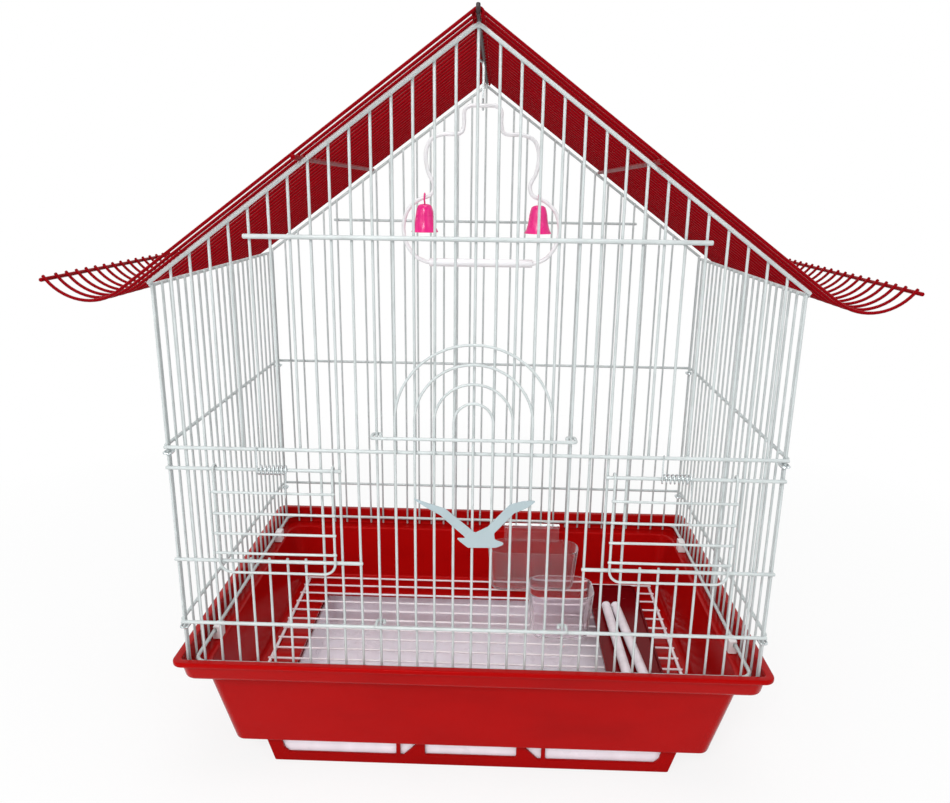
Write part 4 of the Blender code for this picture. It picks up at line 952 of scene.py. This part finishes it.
def grille():
    made = Surface()
    first = -GRILLE_PITCH * (GRILLE_ROWS - 1) / 2
    reach = GRILLE_RAIL + STUB
    row_z = GRILLE_Z + BAR_OFFSET
    for number in range(GRILLE_ROWS):
        y = first + GRILLE_PITCH * number
        made.tube(straight((-reach, y, row_z), (reach, y, row_z), 8, way=Y), UPRIGHT)
        for side in (-1, 1):
            made.ball((side * GRILLE_RAIL, y, row_z - WIRE + BITE / 2), (BEAD, BEAD, BEAD_DEEP))
    end = -first + STUB
    for side in (-1, 1):
        x = side * GRILLE_RAIL
        made.bar((x, -end, GRILLE_Z), (x, end, GRILLE_Z), 6, BAR)
    # Painted light: the grille's coating is a lighter, pinker copy of the wall wire's white.
    piece("floor_grille_wires", made, grille_wire, "cage", ("floor_grille",))


grille()


def trough():
    made = Surface()
    low = GRILLE_TOP + GAP
    left, right, front, back = TROUGH

    def level(height, inset):
        corner = max(TROUGH_CORNER - inset, LEAST_CORNER)
        return (left + inset, right - inset, front + inset, back - inset, height, corner)

    made.skin(open_box(level, low, low + TROUGH_HEIGHT, TROUGH_WALL, foot=0.9, lip=0.45))
    # Painted shade: the trough's red is darkened to stand in for deep shade.
    piece("perch_trough_moulded", made, trough_red_painted_shade, "cage", ("perch_trough",), sharp=30)


def cup(name, node, edges, hood=None):
    """A thin clear cup that narrows towards its foot, and its hooked back plate where it has one."""
    made = Surface()
    low = GRILLE_TOP + GAP
    top = low + CUP_HEIGHT
    left, right, front, back = edges

    def level(height, inset):
        lean = inset + CUP_TAPER * (top - height) / CUP_HEIGHT
        corner = max(CUP_CORNER - lean, LEAST_CORNER)
        return (left + lean, right - lean, front + lean, back - lean, height, corner)

    made.skin(open_box(level, low, top, CUP_WALL, foot=3.0, lip=0.6))
    if hood:
        plate_left, plate_right, rise = hood
        outer = back - HOOD_INSET
        inner = outer - CUP_WALL
        tip = back - HOOD_REACH
        foot = top - HOOD_FOOT
        high = top + rise
        section = [(outer, foot), (outer, high), (tip, high), (tip, high - 2 * CUP_WALL),
                   (tip + CUP_WALL, high - 2 * CUP_WALL), (tip + CUP_WALL, high - CUP_WALL),
                   (inner, high - CUP_WALL), (inner, foot)]
        points = [Vector((plate_left, y, z)) for y, z in section]
        made.prism(points[::-1], X * (plate_right - plate_left))
    piece(name, made, clear_plastic, "cage", (node,), sharp=30)


def loose_perch(name, node, across, turn):
    """A pale rod with a groove near each end, lying in the trough from its back end forwards."""
    half = PERCH_LENGTH / 2
    radius = PERCH_RADIUS
    groove = radius - GROOVE_DEPTH
    start, slope, foot, end = (half - mark for mark in GROOVE)
    ends = [(0, half), (radius - PERCH_EDGE, half), (radius, half - PERCH_EDGE), (radius, start),
            (groove, slope), (groove, foot), (radius, end)]
    middle = [(radius, y) for y in (PERCH_STEP, 0, -PERCH_STEP)]
    profile = ends + middle + [(r, -y) for r, y in reversed(ends)]
    made = Surface()
    made.lathe(profile, (0, 0, 0), Y, 28)
    height = GRILLE_TOP + GAP + TROUGH_WALL + GAP + radius
    place = (Matrix.Translation((across, PERCH_BACK, height)) @ Matrix.Rotation(math.radians(turn), 4, "Z")
             @ Matrix.Translation((0, -half, 0)))
    made.points = [place @ point for point in made.points]
    piece(name, made, perch_look, "cage", (node,), sharp=40)


trough()
cup("feeder_cup_back_clear", "feeder_cup_back", CUP_BACK, HOOD)
cup("feeder_cup_front_clear", "feeder_cup_front", CUP_FRONT)
loose_perch("perch_left_moulded", "perch_left", across=106.5, turn=1.5)
loose_perch("perch_right_moulded", "perch_right", across=114.05, turn=4.1)


# Doors

def hooked_bar(surface, y, height):
    """A door's cross wire, with a hook at each end round an upright of the doorway."""
    post = DOOR_POST * PITCH
    room = WIRE + GAP + HOOK_BAR
    back = -HALF_DEPTH + room
    near = post - room
    far = post + room
    hook = [(near, -HALF_DEPTH - room / 2), (near, back), (far, back), (far, y)]
    chain = [(-x, deep, height) for x, deep in hook] + [(x, deep, height) for x, deep in reversed(hook)]
    surface.tube(bent(chain, room * HOOK_CORNER, 5), HOOK_BAR, facing=Z)


def main_door():
    made = Surface()
    y = -(WALL_FRONT + GAP + WIRE)
    bottom = BOTTOM_BAR - STUB
    bar_y = y - (WIRE + HOOK_BAR - BITE)
    weld_y = y - WIRE + BITE / 2
    heights = (BOTTOM_BAR, TOP_BAR)
    made.tube(straight((0, y, bottom), (0, y, TOP_BAR + STUB), bow=0.0), UPRIGHT)
    for height in heights:
        cross(made, (0, weld_y, height))
    for number in range(ARCHES):
        radius = (ARCHES - number) * PITCH
        crown = arc((0, y, ARCH_CENTRE), radius, math.pi, -math.pi, 28 - 4 * number, X, Z)
        drops = [bottom + (ARCH_CENTRE - bottom) * share for share in (0, 0.33, 0.66)]
        legs = [[Vector((side * radius, y, z)) for z in drops] for side in (-1, 1)]
        made.tube(legs[0] + crown + legs[1][::-1], UPRIGHT, facing=Y)
        for side in (-1, 1):
            for height in heights:
                cross(made, (side * radius, weld_y, height))
    for height in heights:
        hooked_bar(made, bar_y, height)
    piece("main_door_wires", made, white_wire, "main_door", ("main_door",))


def bird():
    front = -(WALL_FRONT + GAP + 2 * WIRE + GAP) - BIRD_THICK
    outline = soft_outline([(x, z + BIRD_HEIGHT) for x, z in BIRD_OUTLINE], 1.6, 3)
    made = plate("bird_sheet", [outline], BIRD_THICK, bevel=0.22, front=front)
    finish_piece(made, bird_look, "main_door", ("bird_ornament",))


def feeder_door(name, side, node):
    made = Surface()
    eye = BAR + GAP + DOOR_WIRE
    y = HINGE_Y - eye
    middle = side * FEEDER_CENTRE
    axis = Vector((0, HINGE_Y, HINGE_BAR))
    hook = arc(axis, eye, math.radians(-45), math.radians(225), 12, Y, Z)
    inner = FEEDER_HALF - FEEDER_CORNER
    low = Vector((0, y, FEEDER_BOTTOM + FEEDER_CORNER))
    turn = arc(low + X * inner, FEEDER_CORNER, 0, -math.pi / 2, 8, X, Z)
    right = [point + X * FEEDER_HALF for point in hook] + turn
    left = [Vector((-point.x, point.y, point.z)) for point in reversed(right)]
    made.tube([point + X * middle for point in right + left], DOOR_ROD, facing=X)
    bar_y = y - (2 * DOOR_WIRE - BITE)
    weld_y = y - DOOR_WIRE + BITE / 2
    reach = FEEDER_HALF + STUB
    for height in FEEDER_BARS:
        bow = dice.uniform(-DOOR_BOW, DOOR_BOW)
        ends = ((middle - reach, bar_y, height), (middle + reach, bar_y, height))
        made.tube(straight(*ends, 4, bow, Z), DOOR_ROD)
        for end in (-1, 1):
            made.ball((middle + end * FEEDER_HALF, weld_y, height), (BEAD, DOOR_BEAD_DEEP, BEAD))
    piece(name, made, white_wire, node, (node,))


def spring(name, side, leg, node):
    """The torsion spring round the hinge bar, with one leg reaching to the wall and one to its door."""
    made = Surface()
    start = side * SPRING_MIDDLE + SPRING_LENGTH / 2
    end = start - SPRING_LENGTH
    leg_y = HINGE_Y - (BAR + GAP + 4 * DOOR_WIRE - BITE + DOOR_WIRE + GAP + SPRING_WIRE)
    top_y = -(HALF_DEPTH + BAR_OFFSET + BAR + GAP + SPRING_WIRE)
    steps = 20 * SPRING_TURNS
    axis = (start, HINGE_Y, HINGE_BAR)
    turns = arc(axis, SPRING_RADIUS, math.pi, -2 * math.pi * SPRING_TURNS, steps, Y, Z)
    coil = [point - X * (SPRING_LENGTH * number / steps) for number, point in enumerate(turns)]
    knee = (start, leg_y, HINGE_BAR - 5 * SPRING_RADIUS)
    first = bent([(start, leg_y, HINGE_BAR - leg), knee, coil[0]], SPRING_BEND)
    knee = (end, top_y, MID_BAR - 2 * BAR)
    last = bent([coil[-1], knee, (end, top_y, MID_BAR + SPRING_TIP)], SPRING_BEND)
    made.tube(first[:-1] + coil + last[1:], SPRING_WIRE, 8)
    item = new_object(name, new_mesh(name, made))
    item.data.materials.append(bright_wire)
    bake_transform(item)
    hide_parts(node)


main_door()
bird()
for side, word in SIDES:
    feeder_door("feeder_door_%s_wires" % word, side, "feeder_door_" + word)
    leg = SPRING_LEGS[(side + 1) // 2]
    spring("feeder_spring_%s_coil" % word, side, leg, "feeder_spring_" + word)


# Swing and bells

def swing():
    hook = Surface()
    upper = Z * RIDGE_HEIGHT
    lower = Z * SWING_TOP
    eye = RIDGE_RADIUS + GAP + THIN
    over = arc(upper, eye, math.radians(-10), math.radians(200), 14, X, Z)
    under = arc(lower, SWING_ROD + GAP + THIN, math.radians(100), math.radians(-200), 14, Y, Z)
    neck = 2.5 * eye
    shank = [over[-1] - Z * STUB, upper - Z * neck, lower + Z * neck, under[0] + Z * STUB]
    hook.tube(over + smooth_path(shank, 4) + under, THIN, 8)
    piece("swing_hook_wire", hook, bright_wire, "swing_hook", ("swing_hook",))
    made = Surface()
    right = smooth_path([(x, 0, SWING_TOP - drop) for x, drop in SWING_OUTLINE], 6)
    inner = SWING_PERCH_REACH - SOCKET_DEPTH + GAP
    right += [Vector((SWING_PERCH_REACH, 0, SWING_PERCH_HEIGHT)), Vector((inner, 0, SWING_PERCH_HEIGHT))]
    left = [Vector((-point.x, 0, point.z)) for point in reversed(right)]
    made.tube(left + right, SWING_ROD, 14, facing=Y)
    piece("swing_frame_moulded", made, swing_white, "swing", ("swing_frame",))
    rod = Surface()
    reach = SWING_PERCH_REACH
    bore = SWING_ROD + GAP
    depth = reach - SOCKET_DEPTH
    radius = SWING_PERCH_RADIUS
    half = [(0, depth), (bore, depth), (bore, reach - SOCKET_EDGE), (bore + SOCKET_EDGE, reach),
            (radius - PERCH_ROUNDING, reach), (radius, reach - PERCH_ROUNDING), (radius, 12)]
    profile = half + [(r, -x) for r, x in reversed(half)]
    rod.lathe(profile, Z * SWING_PERCH_HEIGHT, X, 24)
    piece("swing_perch_moulded", rod, swing_white, "swing", ("swing_perch",))


def bell(name, side, node):
    """A thin-walled bell with a flared mouth and a bead at its crown, on a wire hook."""
    axis = Vector((side * BELL_PLACE, 0, BELL_HEIGHT))
    made = Surface()
    made.lathe(BELL_OUTLINE, axis, Z, 36)
    eye = SWING_ROD + 2 * GAP + BELL_WIRE
    hook = arc(axis, eye, math.radians(-20), math.radians(220), 14, Y, Z)
    stem = bent([hook[-1] - Z, axis - Z * eye * 1.3, axis - Z * BELL_STEM], BELL_BEND)
    made.tube(hook + stem, BELL_WIRE, 8, facing=X)
    piece(name, made, bell_look, node, (node,), sharp=45)


swing()
for side, word in SIDES:
    bell("bell_%s_moulded" % word, side, "bell_" + word)


# Camera, light and floor

def camera():
    yaw, pitch, roll = CAMERA_TURN
    ahead = Vector((math.sin(yaw) * math.cos(pitch), math.cos(yaw) * math.cos(pitch), -math.sin(pitch)))
    level = Vector((math.cos(yaw), -math.sin(yaw), 0))
    upward = level.cross(ahead)
    right = math.cos(roll) * level + math.sin(roll) * upward
    above = -math.sin(roll) * level + math.cos(roll) * upward
    data = bpy.data.cameras.new("camera")
    data.sensor_width = SENSOR
    data.lens = SENSOR * FOCAL_SHARE
    data.clip_start = 0.01
    made = new_object("camera", data)
    columns = [(*column, 0) for column in (right, above, -ahead)] + [(*CAMERA_PLACE, 1)]
    made.matrix_world = Matrix(columns).transposed()
    bpy.context.scene.camera = made


def softbox(name, place, target, size, power):
    data = bpy.data.lights.new(name, "AREA")
    data.shape = "SQUARE"
    data.size = size
    data.energy = power
    made = new_object(name, data)
    made.location = place
    made.rotation_euler = (Vector(target) - Vector(place)).to_track_quat("-Z", "Y").to_euler()


def background_ray(tree, mirrored):
    """1 for rays from the camera or through clear plastic, and the given share for mirrored rays."""
    path = tree.nodes.new("ShaderNodeLightPath").outputs
    seen = arithmetic(tree, "MAXIMUM", path["Is Camera Ray"], path["Is Transmission Ray"])
    return arithmetic(tree, "MAXIMUM", seen, arithmetic(tree, "MULTIPLY", path["Is Glossy Ray"], mirrored))


def studio():
    """A plain white background with softer light, and a pale floor that fades into it."""
    world = bpy.data.worlds.new("studio")
    bpy.context.scene.world = world
    world.use_nodes = True
    tree = world.node_tree
    sky = tree.nodes["Background"]
    sky.inputs["Color"].default_value = (1, 1, 1, 1)
    way = tree.nodes.new("ShaderNodeSeparateXYZ")
    tree.links.new(tree.nodes.new("ShaderNodeTexCoord").outputs["Generated"], way.inputs[0])
    share = background_ray(tree, span_node(tree, way.outputs["Y"], 0.3, 1.0, -0.7, -0.1))
    level = arithmetic(tree, "MAXIMUM", share, AMBIENT)
    tree.links.new(level, sky.inputs["Strength"])

    ground = Look("pale_floor", Base_Color=(0.86, 0.86, 0.86, 1), Roughness=0.9, Specular_IOR_Level=0.1)
    tree = ground.tree
    reach = ground.node("ShaderNodeVectorMath", Vector=ground.place)
    reach.operation = "LENGTH"
    near = ground.span(reach.outputs["Value"], 0.82, 1.0, 0.25, 0.75)
    share = arithmetic(tree, "MULTIPLY", background_ray(tree, 0.4), near)
    mix = ground.node("ShaderNodeMixShader", Fac=share)
    glow = ground.node("ShaderNodeEmission")
    tree.links.new(ground.shader.outputs[0], mix.inputs[1])
    tree.links.new(glow.outputs[0], mix.inputs[2])
    tree.links.new(mix.outputs[0], tree.nodes["Material Output"].inputs["Surface"])
    mesh = bpy.data.meshes.new("floor")
    corners = ((-1, -1), (1, -1), (1, 1), (-1, 1))
    points = [(x * FLOOR_HALF, y * FLOOR_HALF, -FLOOR_DROP) for x, y in corners]
    mesh.from_pydata(points, [], [(0, 1, 2, 3)])
    mesh.materials.append(ground.material)
    new_object("floor", mesh)
    for lamp in LAMPS:
        softbox(*lamp)


camera()
studio()
bpy.context.scene.view_settings.view_transform = "Standard"
